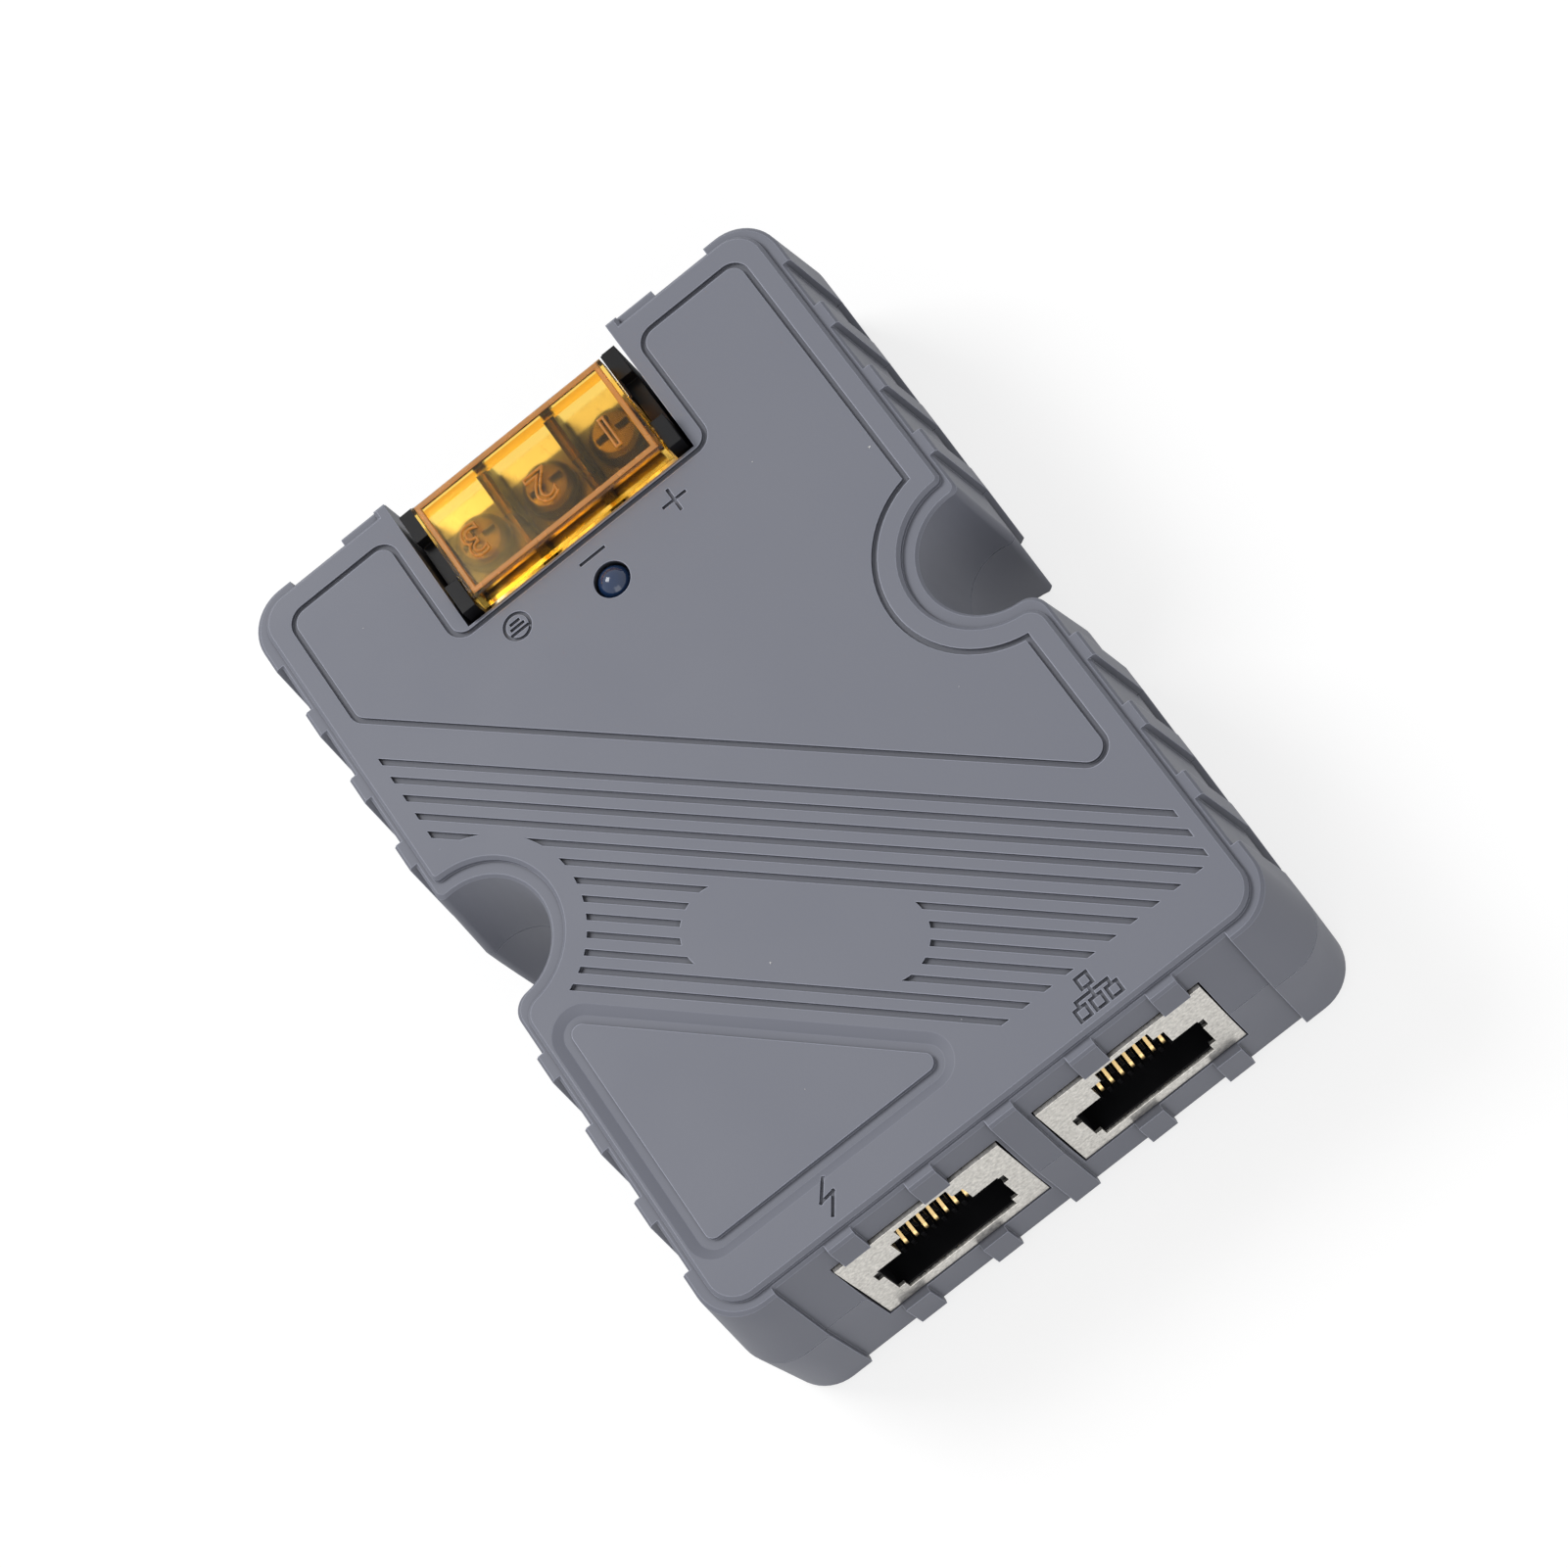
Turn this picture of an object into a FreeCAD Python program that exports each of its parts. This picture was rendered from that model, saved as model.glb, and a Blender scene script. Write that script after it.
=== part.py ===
"""Passive network power injector: a grey two-shell case with two shielded jacks at one end
and a three-way screw terminal under a hinged amber cover at the other."""
import FreeCAD, Part
import math
import os
from FreeCAD import Vector

# Frame: origin at the bottom centre of the case, +Z up, jacks at the -Y end, terminal at the +Y end.

# Case
plateau_rise = 0.7            # the top stands this far above the ledge that runs round it
jack_side_room = 9.36         # side of a jack to the rib face at the shoulder
middle_room = 44.85           # back of the jacks to the terminal's opening
jack_headroom = 3.5           # top of a jack to the shoulder
seam_above_board = 6.2        # board to the parting line of the two shells
seam_gap = 0.12               # the shells' walls stop this far apart, the posts and tongues meet
seam_lean = 0.95              # the walls lean out this far at the parting line
base_lean = 0.65              # and this far at the base
corner_radius = 4.0
base_bevel = 0.5
shoulder_bevel = 0.25
recess_depth = 0.6            # wall panels behind the face of the ribs
wall = 1.6
floor_thickness = 1.8
roof_thickness = 1.9
tongue_length = 17.0          # straight tongues on the long sides, which line the shells up
tongue_thickness = 0.7
tongue_height = 0.9
tongue_clearance = 0.08

# Plateau on the top
plateau_side_inset = 1.2
plateau_end_inset = 1.05
plateau_radius = 2.8
plateau_bevel = 0.3

# Ribs
rib_width = 2.5
side_rib_pitch = 7.5
side_rib_start = 11.45        # middle of the case to the middle of the first side rib
side_rib_count = 3            # each side of a grip
end_rib_pitch = 7.8
end_rib_count = 2             # each side of the middle rib
corner_block_width = 5.2      # along the ends
corner_block_length = 6.1     # along the sides
terminal_land_width = 4.7     # proud land on each side of the terminal opening
terminal_strip_width = 1.1    # the plateau reaches the end wall on this strip beside the opening

# Grips, one in each long side
grip_radius = 5.6
grip_top_radius = 6.9
grip_centre_inset = 1.8       # from the rib face in to the centre of the round
grip_offset = 0.6             # towards the terminal from the middle of the case
grip_corner_terminal = 0.6    # radius of the corner on the terminal's side
grip_corner_jack = 1.8        # and of the one on the jacks' side
grip_arc_parts = 8

# Line panel and stripes on the plateau
line_width = 0.5
line_depth = 0.35
panel_inset = 2.2             # plateau's long edge to the line
panel_end_inset = 2.3         # plateau's terminal edge to the line
panel_terminal_margin = 1.45  # terminal opening to the line beside it
panel_terminal_gap = 0.5      # terminal opening to the line behind it
panel_corner_radius = 1.5
panel_grip_margin = 2.1       # grip to the line and to the stripes
stripe_slope = 44.2           # degrees
stripe_count = 13
stripe_pitch = 1.457
stripe_width = 0.55
stripe_lead = 3.4             # panel's slanted line to the first stripe
panel_slant_offset = 0.45     # slanted line from the case's centre, square to it
stripe_left_inset = 1.9
stripe_right_inset = 1.4
stripe_end_inset = 4.75       # plateau's jack edge to the stripe ends
label_length = 21.0
label_width = 7.4
label_row = 9                 # stripe on whose line the bare label field is centred
label_shift = 8.6             # from the case's centre line, along the stripes
triangle_gap = 2.9            # last stripe to the triangle
triangle_end_inset = 5.5      # plateau's jack edge to the triangle
triangle_depth = 0.4
channel_width = 1.7
channel_slope = 0.9

# Jacks
jack_width = 16.0
jack_height = 13.4
jack_depth = 18.0
jack_half_gap = 1.84
jack_stand_out = 0.05         # jack face in front of the rib face at the shoulder
jack_clearance = 0.15
shield_sheet = 0.3
insert_gap = 0.02
port_width = 11.9
port_height = 6.8
port_bottom = 1.5             # jack's underside to the port's floor
port_depth = 13.0
tab_slot_width = 7.1
tab_slot_height = 2.6
tab_groove_width = 5.1
tab_groove_height = 1.7
contact_count = 8
contact_pitch = 1.02
contact_width = 0.46
contact_thickness = 0.35
contact_start = 3.6           # jack face to the front of a contact
contact_rise = 4.2
contact_run = 7.5

# Circuit board
board_thickness = 1.6
board_lift = 1.6              # floor to the underside of the board
board_margin = 0.6            # board edge to the case wall

rest_size = 3.0
rest_inset = 10.0             # rib face to the middle of a rest, along and across

# Case screws and their posts
post_size = 6.0
post_inset = 5.0              # rib face to the middle of a post, along and across
screw_radius = 1.25
screw_length = 13.0
screw_head_radius = 2.6
screw_head_height = 1.5
screw_hole_clearance = 0.15
screw_head_sink = 0.2

# Terminal
terminal_opening_width = 23.6
terminal_opening_depth = 14.7
terminal_clearance = 0.4      # block's side to the case
terminal_pitch = 7.1
way_count = 3
block_end_setback = 2.3       # end of the case to the block's outer face
block_back_gap = 0.45
block_end_wall = 1.3
block_divider = 1.0
block_deck_drop = 7.4         # top of the cover to the floor of the wire bays
block_end_drop = 2.4          # top of the cover to the end walls
block_end_recess = 1.3
divider_back_drop = 4.6       # top of the cover to the three steps of a divider
divider_top_drop = 1.3
divider_front_drop = 2.8
block_well = 4.2              # square well under each screw
hinge_post_length = 3.0
hinge_post_drop = 0.8         # top of the cover to the top of the hinge posts
plate_thickness = 0.8
clamp_size = 5.6
clamp_thickness = 0.8
terminal_screw_radius = 1.5
terminal_head_radius = 2.45
terminal_head_height = 1.6
terminal_screw_length = 8.5
screw_run_gap = 0.1
screw_back_distance = 6.95    # back of the terminal opening to the screws' axes

# Cover
cover_width = 19.8
cover_length = 10.55
cover_rise = 2.2              # top of the cover over the plateau
cover_sheet = 0.8
cover_skirt_height = 2.6      # at the back
cover_lip_height = 2.3        # at the front
cover_cheek_height = 2.2
cover_cheek = 0.5
cover_back_gap = 0.5
cover_inside_gap = 0.3        # dividers to the inside of the front lip
cover_edge_radius = 0.6
hinge_drop = 1.8              # top of the cover to the hinge axis
hinge_back_distance = 2.75    # back of the terminal opening to the hinge axis
hinge_pin_radius = 0.7
hinge_pin_length = 0.75
hinge_run_gap = 0.06

# Indicator lamp
lamp_radius = 1.5
lamp_height = 5.2
lamp_stand_out = 0.5
lamp_hole_clearance = 0.12
lamp_back_distance = 4.95     # lamp's axis from the back of the terminal opening
lamp_lead = 0.5
lamp_lead_pitch = 2.54

# Parts on the board
front_row_gap = 2.0           # back of the jacks to the first row of parts
back_row_gap = 0.6            # last row of parts to the terminal's well
transformer_size = (9.6, 15.2, 6.2)
transformer_x = 6.5
choke_size = (13.0, 9.5, 8.0)
choke_x = 10.5
capacitor_radius = 4.0
capacitor_height = 11.5
capacitor_x = 11.0
diode_size = (5.8, 7.0, 2.4)
fuse_size = (4.2, 8.5, 7.6)
side_part_x = 16.5            # fuse and diode, one on each side of the transformers

# Worked-out places
half_width = jack_half_gap + jack_width + jack_side_room
board_bottom = floor_thickness + board_lift
board_top = board_bottom + board_thickness
jack_top = board_top + jack_height
seam_height = board_top + seam_above_board
shoulder_height = jack_top + jack_headroom
plateau_top = shoulder_height + plateau_rise
cover_top = plateau_top + cover_rise
case_length = jack_depth - jack_stand_out + middle_room + terminal_opening_depth
half_length = case_length / 2.0
roof_underside = plateau_top - roof_thickness
inner_half_width = half_width - recess_depth - wall
inner_half_length = half_length - recess_depth - wall
plateau_half_width = half_width - plateau_side_inset
plateau_half_length = half_length - plateau_end_inset
grip_x = half_width - grip_centre_inset
post_x = half_width - post_inset
post_y = half_length - post_inset
rest_x = half_width - rest_inset
rest_y = half_length - rest_inset
jack_face = -half_length - jack_stand_out
jack_centre_x = jack_half_gap + jack_width / 2.0
opening_half_width = terminal_opening_width / 2.0
opening_back = half_length - terminal_opening_depth
block_half_width = opening_half_width - terminal_clearance
block_back = opening_back + block_back_gap
block_front = half_length - block_end_setback
screw_line = opening_back + screw_back_distance
block_deck = cover_top - block_deck_drop
hinge_height = cover_top - hinge_drop
plate_top = block_deck + plate_thickness
clamp_top = plate_top + clamp_thickness
head_bottom = clamp_top + 0.5 * screw_run_gap
hinge_y = opening_back + hinge_back_distance
cover_back = opening_back + cover_back_gap
cover_front = cover_back + cover_length
cover_half_width = cover_width / 2.0
lamp_y = opening_back - lamp_back_distance
screw_tip = screw_head_sink + screw_head_height + screw_length
reach = case_length + half_width
slant = math.radians(stripe_slope)
across = Vector(math.sin(slant), math.cos(slant), 0)
along = Vector(math.cos(slant), -math.sin(slant), 0)


def box(x0, x1, y0, y1, z0, z1):
    """A block between two corners."""
    return Part.makeBox(x1 - x0, y1 - y0, z1 - z0, Vector(x0, y0, z0))


def rod(x, y, z0, z1, radius):
    """An upright cylinder."""
    return Part.makeCylinder(radius, z1 - z0, Vector(x, y, z0))


def fuse_all(shapes):
    """One solid from several that touch or overlap."""
    if len(shapes) == 1:
        return shapes[0]
    return shapes[0].multiFuse(shapes[1:]).removeSplitter()


def mirror_x(shape):
    """The same shape on the other side of the case."""
    return shape.mirror(Vector(0, 0, 0), Vector(1, 0, 0))


def rounded_wire(corners, z):
    """A closed outline: corners are (x, y, radius), and each corner is rounded by its radius."""
    count = len(corners)
    edges = []
    starts = []
    ends = []
    for index in range(count):
        x, y, radius = corners[index]
        here = Vector(x, y, z)
        before = Vector(corners[index - 1][0], corners[index - 1][1], z)
        after = Vector(corners[(index + 1) % count][0], corners[(index + 1) % count][1], z)
        if radius <= 0:
            starts.append(here)
            ends.append(here)
            continue
        to_before = (before - here).normalize()
        to_after = (after - here).normalize()
        half_angle = 0.5 * to_before.getAngle(to_after)
        reach_back = radius / math.tan(half_angle)
        middle_way = (to_before + to_after).normalize()
        centre = here + middle_way * (radius / math.sin(half_angle))
        starts.append(here + to_before * reach_back)
        ends.append(here + to_after * reach_back)
        edges.append((index, Part.Arc(starts[-1], centre - middle_way * radius, ends[-1]).toShape()))
    arcs = dict(edges)
    ordered = []
    for index in range(count):
        if index in arcs:
            ordered.append(arcs[index])
        following = (index + 1) % count
        if (starts[following] - ends[index]).Length > 1e-6:
            ordered.append(Part.LineSegment(ends[index], starts[following]).toShape())
    return Part.Wire(ordered)


def rectangle(half_x, half_y, radius, z):
    """A rounded rectangle about the case's centre."""
    corners = [(-half_x, -half_y, radius), (half_x, -half_y, radius),
               (half_x, half_y, radius), (-half_x, half_y, radius)]
    return rounded_wire(corners, z)


def prism(wire, height):
    """The solid above an outline, or below it for a negative height."""
    return Part.Face(wire).extrude(Vector(0, 0, height))


def cut_profile(points, axis, length):
    """A solid from a closed profile of points, pushed along an axis."""
    wire = Part.makePolygon(points + [points[0]])
    return Part.Face(wire).extrude(axis * length)


def lower_levels():
    """Heights of the lower shell's wall, each with how far it leans out."""
    return [(0.0, base_lean - base_bevel), (base_bevel, base_lean), (seam_height - seam_gap, seam_lean)]


def upper_levels():
    """Heights of the upper shell's wall, each with how far it leans out."""
    return [(seam_height, seam_lean), (shoulder_height - shoulder_bevel, 0.0),
            (shoulder_height, -shoulder_bevel)]


def wall_form(levels, inset):
    """A solid with the case's leaning walls, set back by inset."""
    wires = []
    for z, lean in levels:
        out = lean - inset
        wires.append(rectangle(half_width + out, half_length + out, corner_radius - inset, z))
    return Part.makeLoft(wires, True, True)


def rib_slabs(z0, z1):
    """Blocks that cover every place where the wall stands proud."""
    slabs = []
    for side in (-1, 1):
        for index in range(side_rib_count):
            middle = side * (side_rib_start + index * side_rib_pitch)
            slabs.append(box(-reach, reach, middle - rib_width / 2, middle + rib_width / 2, z0, z1))
    for index in range(-end_rib_count, end_rib_count + 1):
        middle = index * end_rib_pitch
        slabs.append(box(middle - rib_width / 2, middle + rib_width / 2, -reach, 0, z0, z1))
    block_x = half_width - corner_block_width
    block_y = half_length - corner_block_length
    for x0, x1 in ((-reach, -block_x), (block_x, reach)):
        for y0, y1 in ((-reach, -block_y), (block_y, reach)):
            slabs.append(box(x0, x1, y0, y1, z0, z1))
    land_end = opening_half_width + terminal_land_width
    for x0, x1 in ((-land_end, -opening_half_width + 1.0), (opening_half_width - 1.0, land_end)):
        slabs.append(box(x0, x1, 0, reach, z0, z1))
    return slabs


def ribbed_form(levels):
    """Recessed wall panels with the ribs, lands and corner blocks standing proud of them."""
    panels = wall_form(levels, recess_depth)
    proud = wall_form(levels, 0.0)
    slabs = rib_slabs(levels[0][0], levels[-1][0])
    return fuse_all([panels] + [proud.common(slab) for slab in slabs])


def grip_wire(radius, edge_x, z):
    """Outline of the space of one grip: a round whose two corners roll out to the side wall."""
    centre_y = grip_offset
    outer = edge_x + 4 * wall
    points = []
    for side, corner in ((1, grip_corner_terminal), (-1, grip_corner_jack)):
        roll_x = edge_x - corner - grip_x
        roll_y = math.sqrt((radius + corner) ** 2 - roll_x ** 2)
        share = radius / (radius + corner)
        wall_point = Vector(edge_x, centre_y + side * roll_y, z)
        round_point = Vector(grip_x + roll_x * share, centre_y + side * roll_y * share, z)
        roll_centre = Vector(edge_x - corner, centre_y + side * roll_y, z)
        middle = (wall_point + round_point) * 0.5 - roll_centre
        bend = roll_centre + middle.normalize() * corner
        points.append((wall_point, bend, round_point))
    (a_wall, a_bend, a_round), (b_wall, b_bend, b_round) = points
    start = math.atan2(a_round.y - centre_y, a_round.x - grip_x)
    end = math.atan2(b_round.y - centre_y, b_round.x - grip_x) + 2 * math.pi
    turns = [start + (end - start) * index / (2.0 * grip_arc_parts) for index in range(2 * grip_arc_parts + 1)]
    on_round = [Vector(grip_x + radius * math.cos(turn), centre_y + radius * math.sin(turn), z) for turn in turns]
    edges = [Part.Arc(a_wall, a_bend, a_round).toShape()]
    for index in range(0, 2 * grip_arc_parts, 2):
        edges.append(Part.Arc(on_round[index], on_round[index + 1], on_round[index + 2]).toShape())
    edges.append(Part.Arc(b_round, b_bend, b_wall).toShape())
    corners = [b_wall, Vector(outer, b_wall.y, z), Vector(outer, a_wall.y, z), a_wall]
    edges.extend([Part.LineSegment(a, b).toShape() for a, b in zip(corners, corners[1:])])
    return Part.Wire(edges)


def grip_outline(z, lean):
    """Outline of a grip where the walls lean out by lean."""
    return grip_wire(grip_radius - lean, half_width - recess_depth + lean, z)


def upper_grips():
    """The two grip spaces in the upper shell, which narrow towards the parting line."""
    right = Part.makeLoft([grip_outline(z, lean) for z, lean in upper_levels()], True, True)
    return [right, mirror_x(right)]


def lower_grips():
    """The two grip spaces in the lower shell, which are upright."""
    right = prism(grip_outline(-floor_thickness, seam_lean), seam_height + 2 * floor_thickness)
    return [right, mirror_x(right)]


def cavity(z0, z1):
    """The hollow inside the walls, which bends round the grips."""
    hollow = prism(rectangle(inner_half_width, inner_half_length, corner_radius - wall, z0), z1 - z0)
    keep = rod(grip_x, grip_offset, z0 - 1, z1 + 1, grip_radius + wall)
    return hollow.cut([keep, mirror_x(keep)])


def jack_spaces(z0, z1):
    """Openings in the end wall round the two jacks."""
    spaces = []
    inner = -inner_half_length + 1.0
    for centre in (-jack_centre_x, jack_centre_x):
        half = jack_width / 2 + jack_clearance
        spaces.append(box(centre - half, centre + half, -reach, inner, z0, z1))
    return spaces


def post_places():
    """Centres of the four corner posts."""
    return [(x, y) for x in (-post_x, post_x) for y in (-post_y, post_y)]


def screw_places():
    """Centres of the two posts, in opposite corners, that take a screw."""
    return [(-post_x, -post_y), (post_x, post_y)]


def screw_posts(z0, z1):
    """Four square posts that run into the inside of the corner walls."""
    half = post_size / 2
    inside = wall_form([(0.0, 0.0), (shoulder_height, 0.0)], recess_depth + 0.5 * wall)
    return [box(x - half, x + half, y - half, y + half, z0, z1).common(inside) for x, y in post_places()]


def board_rests():
    """Four small square rests under the board."""
    half = rest_size / 2
    places = [(x, y) for x in (-rest_x, rest_x) for y in (-rest_y, rest_y)]
    return [box(x - half, x + half, y - half, y + half, floor_thickness / 2, board_bottom)
            for x, y in places]


def tongues(clearance):
    """Straight tongues between the ends and the grips, grown by a clearance for their rebates."""
    inner = inner_half_width - clearance
    outer = inner_half_width + tongue_thickness + clearance
    start = grip_offset + grip_radius + 2 * wall + grip_corner_jack
    pieces = []
    for y0 in (start, -start - tongue_length):
        y1 = y0 + tongue_length
        tongue = box(inner, outer, y0 - clearance, y1 + clearance, seam_height - 2 * tongue_height,
                     seam_height + tongue_height + clearance)
        pieces.extend([tongue, mirror_x(tongue)])
    return pieces


def lower_shell():
    """The base tray: floor, lower walls, tongues, screw posts and board rests."""
    shell = ribbed_form(lower_levels())
    shell = shell.cut([cavity(floor_thickness, seam_height + 1)] + lower_grips())
    posts = screw_posts(floor_thickness / 2, seam_height)
    shell = fuse_all([shell] + posts + board_rests() + tongues(0.0))
    holes = []
    for x, y in screw_places():
        holes.append(rod(x, y, -1, seam_height + 1, screw_radius + screw_hole_clearance))
        holes.append(screw_head(x, y, 1.0))
    return shell.cut(holes + jack_spaces(board_top - jack_clearance, seam_height + 1))


def plateau():
    """The raised top, with its edge bevelled and its outline drawn in round the grips."""
    height = plateau_rise + 0.5
    wire = rectangle(plateau_half_width, plateau_half_length, plateau_radius, shoulder_height - 0.5)
    top = prism(wire, height)
    space = prism(grip_wire(grip_top_radius, plateau_half_width, shoulder_height - 1), height + 2)
    top = top.cut([space, mirror_x(space)])
    edge = opening_half_width + terminal_strip_width
    strip = box(-edge, edge, plateau_half_length - 1, half_length - shoulder_bevel,
                shoulder_height - 0.5, plateau_top)
    top = fuse_all([top, strip])
    rim = [edge for edge in top.Edges
           if abs(edge.BoundBox.ZMin - plateau_top) < 1e-4 and abs(edge.BoundBox.ZMax - plateau_top) < 1e-4]
    return top.makeChamfer(plateau_bevel, rim)


def panel_solid(grow):
    """The lined panel beside the terminal, grown by a little, from the plateau's top downwards."""
    left = -plateau_half_width + panel_inset
    right = -left
    top = plateau_half_length - panel_end_inset
    side = opening_half_width + panel_terminal_margin
    back = opening_back - panel_terminal_gap
    low_left = (panel_slant_offset - left * across.x) / across.y
    low_right = (panel_slant_offset - right * across.x) / across.y
    r = panel_corner_radius
    corners = [(left, top, r), (left, low_left, r), (right, low_right, r), (right, top, r),
               (side, top, r), (side, back, r), (-side, back, r), (-side, top, r)]
    wire = rounded_wire(corners, plateau_top - line_depth)
    body = prism(wire.makeOffset2D(grow), line_depth + 1)
    keep = rod(grip_x, grip_offset, 0, reach, grip_top_radius + panel_grip_margin - grow)
    return body.cut(keep)


def panel_line():
    """The fine line round the panel."""
    return panel_solid(line_width / 2).cut(panel_solid(-line_width / 2))


def label_solid(z0, z1):
    """The bare field with round ends that breaks the stripes."""
    offset = panel_slant_offset - stripe_lead - (label_row - 1) * stripe_pitch
    centre = across * offset + along * label_shift
    straight = label_length / 2 - label_width / 2
    ends = [centre + along * straight, centre - along * straight]
    rounds = [rod(end.x, end.y, z0, z1, label_width / 2) for end in ends]
    bar = slanted_bar(offset, label_width, straight, label_shift, z0, z1)
    return fuse_all([bar] + rounds)


def slanted_bar(offset, width, half, shift, z0, z1):
    """A bar that runs along the stripes."""
    centre = across * offset + along * shift
    side = across * (width / 2)
    run = along * half
    points = [centre - run - side, centre + run - side, centre + run + side, centre - run + side]
    lifted = [Vector(point.x, point.y, z0) for point in points]
    return cut_profile(lifted, Vector(0, 0, 1), z1 - z0)


def stripes():
    """The slanted grooves, cut short at the edges, at the grip and at the label field."""
    z0 = plateau_top - line_depth
    z1 = plateau_top + 1
    field = box(-plateau_half_width + stripe_left_inset, plateau_half_width - stripe_right_inset,
                -plateau_half_length + stripe_end_inset, reach, z0, z1)
    keep = rod(-grip_x, grip_offset, z0 - 1, z1 + 1, grip_top_radius + panel_grip_margin)
    field = field.cut([keep, label_solid(z0 - 1, z1 + 1)])
    grooves = []
    for index in range(stripe_count):
        offset = panel_slant_offset - stripe_lead - index * stripe_pitch
        bar = slanted_bar(offset, stripe_width, reach / 2, 0, z0, z1)
        grooves.append(bar.common(field))
    return grooves


def triangle_wire(grow, z):
    """The triangle in the corner by the jacks, grown by a little."""
    left = -plateau_half_width + panel_inset
    low = -plateau_half_length + triangle_end_inset
    offset = panel_slant_offset - stripe_lead - (stripe_count - 1) * stripe_pitch - triangle_gap
    high = (offset - left * across.x) / across.y
    right = (offset - low * across.y) / across.x
    wire = rounded_wire([(left, low, 0.8), (right, low, 0.8), (left, high, 0.8)], z)
    return wire.makeOffset2D(grow) if grow else wire


def triangle_channel():
    """The soft channel round the triangle: a sloped outer side and a steep inner one."""
    outer = triangle_wire(channel_width, plateau_top)
    foot = triangle_wire(channel_width - channel_slope, plateau_top - triangle_depth)
    hollow = Part.makeLoft([foot, outer], True, True)
    island = prism(triangle_wire(0, plateau_top - 2 * triangle_depth), 4 * triangle_depth)
    return hollow.cut(island)


def upper_shell():
    """The cover shell with the plateau, its lines, the ribs, the grips and the terminal opening."""
    shell = ribbed_form(upper_levels())
    hollow = cavity(seam_height - 1, roof_underside)
    well = box(-opening_half_width - wall, opening_half_width + wall, opening_back - wall, reach,
               0, roof_underside + 1)
    shell = shell.cut(hollow.cut(well))
    shell = fuse_all([shell] + screw_posts(seam_height, roof_underside + 0.5))
    shell = shell.cut(upper_grips() + tongues(tongue_clearance))
    shell = fuse_all([shell, plateau()])
    holes = []
    for x, y in screw_places():
        holes.append(rod(x, y, 0, screw_tip + 0.5, screw_radius + 0.02))
    opening = box(-opening_half_width, opening_half_width, opening_back, reach, 0, reach)
    lamp_hole = rod(0, lamp_y, 0, reach, lamp_radius + lamp_hole_clearance)
    shell = shell.cut(holes + [opening, lamp_hole] + jack_spaces(0, jack_top + jack_clearance))
    return shell.cut([panel_line(), triangle_channel()] + stripes())


def circuit_board():
    """The board, with square bites for the screw posts and round ones for the grips."""
    half_x = inner_half_width - board_margin
    half_y = inner_half_length - board_margin
    post_reach = post_size / 2 + board_margin
    long_part = box(post_reach - post_x, post_x - post_reach, -half_y, half_y, board_bottom, board_top)
    wide_part = box(-half_x, half_x, post_reach - post_y, post_y - post_reach, board_bottom, board_top)
    bites = []
    for x in (-grip_x, grip_x):
        bites.append(rod(x, grip_offset, 0, board_top + 1, grip_radius + wall + board_margin))
    return fuse_all([long_part, wide_part]).cut(bites)


def port_space(centre, depth):
    """The stepped space of a jack: the plug's part with the latch's slot and groove above it."""
    floor_z = board_top + port_bottom
    top_z = floor_z + port_height
    spaces = [box(centre - port_width / 2, centre + port_width / 2, jack_face - 1,
                  jack_face + depth, floor_z, top_z)]
    spaces.append(box(centre - tab_slot_width / 2, centre + tab_slot_width / 2, jack_face - 1,
                      jack_face + depth, top_z - 1, top_z + tab_slot_height))
    spaces.append(box(centre - tab_groove_width / 2, centre + tab_groove_width / 2, jack_face - 1,
                      jack_face + depth, top_z, top_z + tab_slot_height + tab_groove_height))
    return fuse_all(spaces)


def jack_shield(centre):
    """The folded sheet-metal box of a jack, open below and cut out at the front for the port."""
    half = jack_width / 2
    sheet = shield_sheet
    back = jack_face + jack_depth
    outer = box(centre - half, centre + half, jack_face, back, board_top, jack_top)
    inner = box(centre - half + sheet, centre + half - sheet, jack_face + sheet, back - sheet,
                board_top - 1, jack_top - sheet)
    return outer.cut([inner, port_space(centre, 2 * sheet)])


def jack_insert(centre):
    """The black moulding inside a shield, with the port and a slot for each contact."""
    half = jack_width / 2 - shield_sheet - insert_gap
    front = jack_face + shield_sheet + insert_gap
    back = jack_face + jack_depth - shield_sheet - insert_gap
    body = box(centre - half, centre + half, front, back, board_top, jack_top - shield_sheet - insert_gap)
    return body.cut(port_space(centre, port_depth))


def jack_contacts(centre):
    """Eight sprung contacts that rise from the port's floor towards its back."""
    floor_z = board_top + port_bottom
    start = jack_face + contact_start
    contacts = []
    for index in range(contact_count):
        x = centre + (index - (contact_count - 1) / 2) * contact_pitch - contact_width / 2
        outline = [(start, 0), (start + 1.2, 0), (start + contact_run, contact_rise),
                   (start + contact_run, contact_rise + contact_thickness),
                   (start + 1.2, contact_thickness), (start, contact_thickness)]
        points = [Vector(x, y, floor_z + z) for y, z in outline]
        contacts.append(cut_profile(points, Vector(1, 0, 0), contact_width))
    return Part.makeCompound(contacts)


def screw_head(x, y, extra):
    """A sunk conical head, or its seat when it is carried on downwards by extra."""
    slope = (screw_head_radius - screw_radius) / screw_head_height
    low = screw_head_sink - extra
    return Part.makeCone(screw_head_radius + extra * slope, screw_radius, screw_head_height + extra,
                         Vector(x, y, low))


def case_screws():
    """Two self-tapping screws with sunk heads, put in from below."""
    screws = []
    for x, y in screw_places():
        shank = rod(x, y, screw_head_sink + screw_head_height, screw_tip, screw_radius)
        screws.append(fuse_all([screw_head(x, y, 0.0), shank]))
    return Part.makeCompound(screws)


def way_centre(way):
    """Place of a terminal way across the case: way 1 is at +X and the last at -X."""
    return ((way_count + 1) / 2.0 - way) * terminal_pitch


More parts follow.
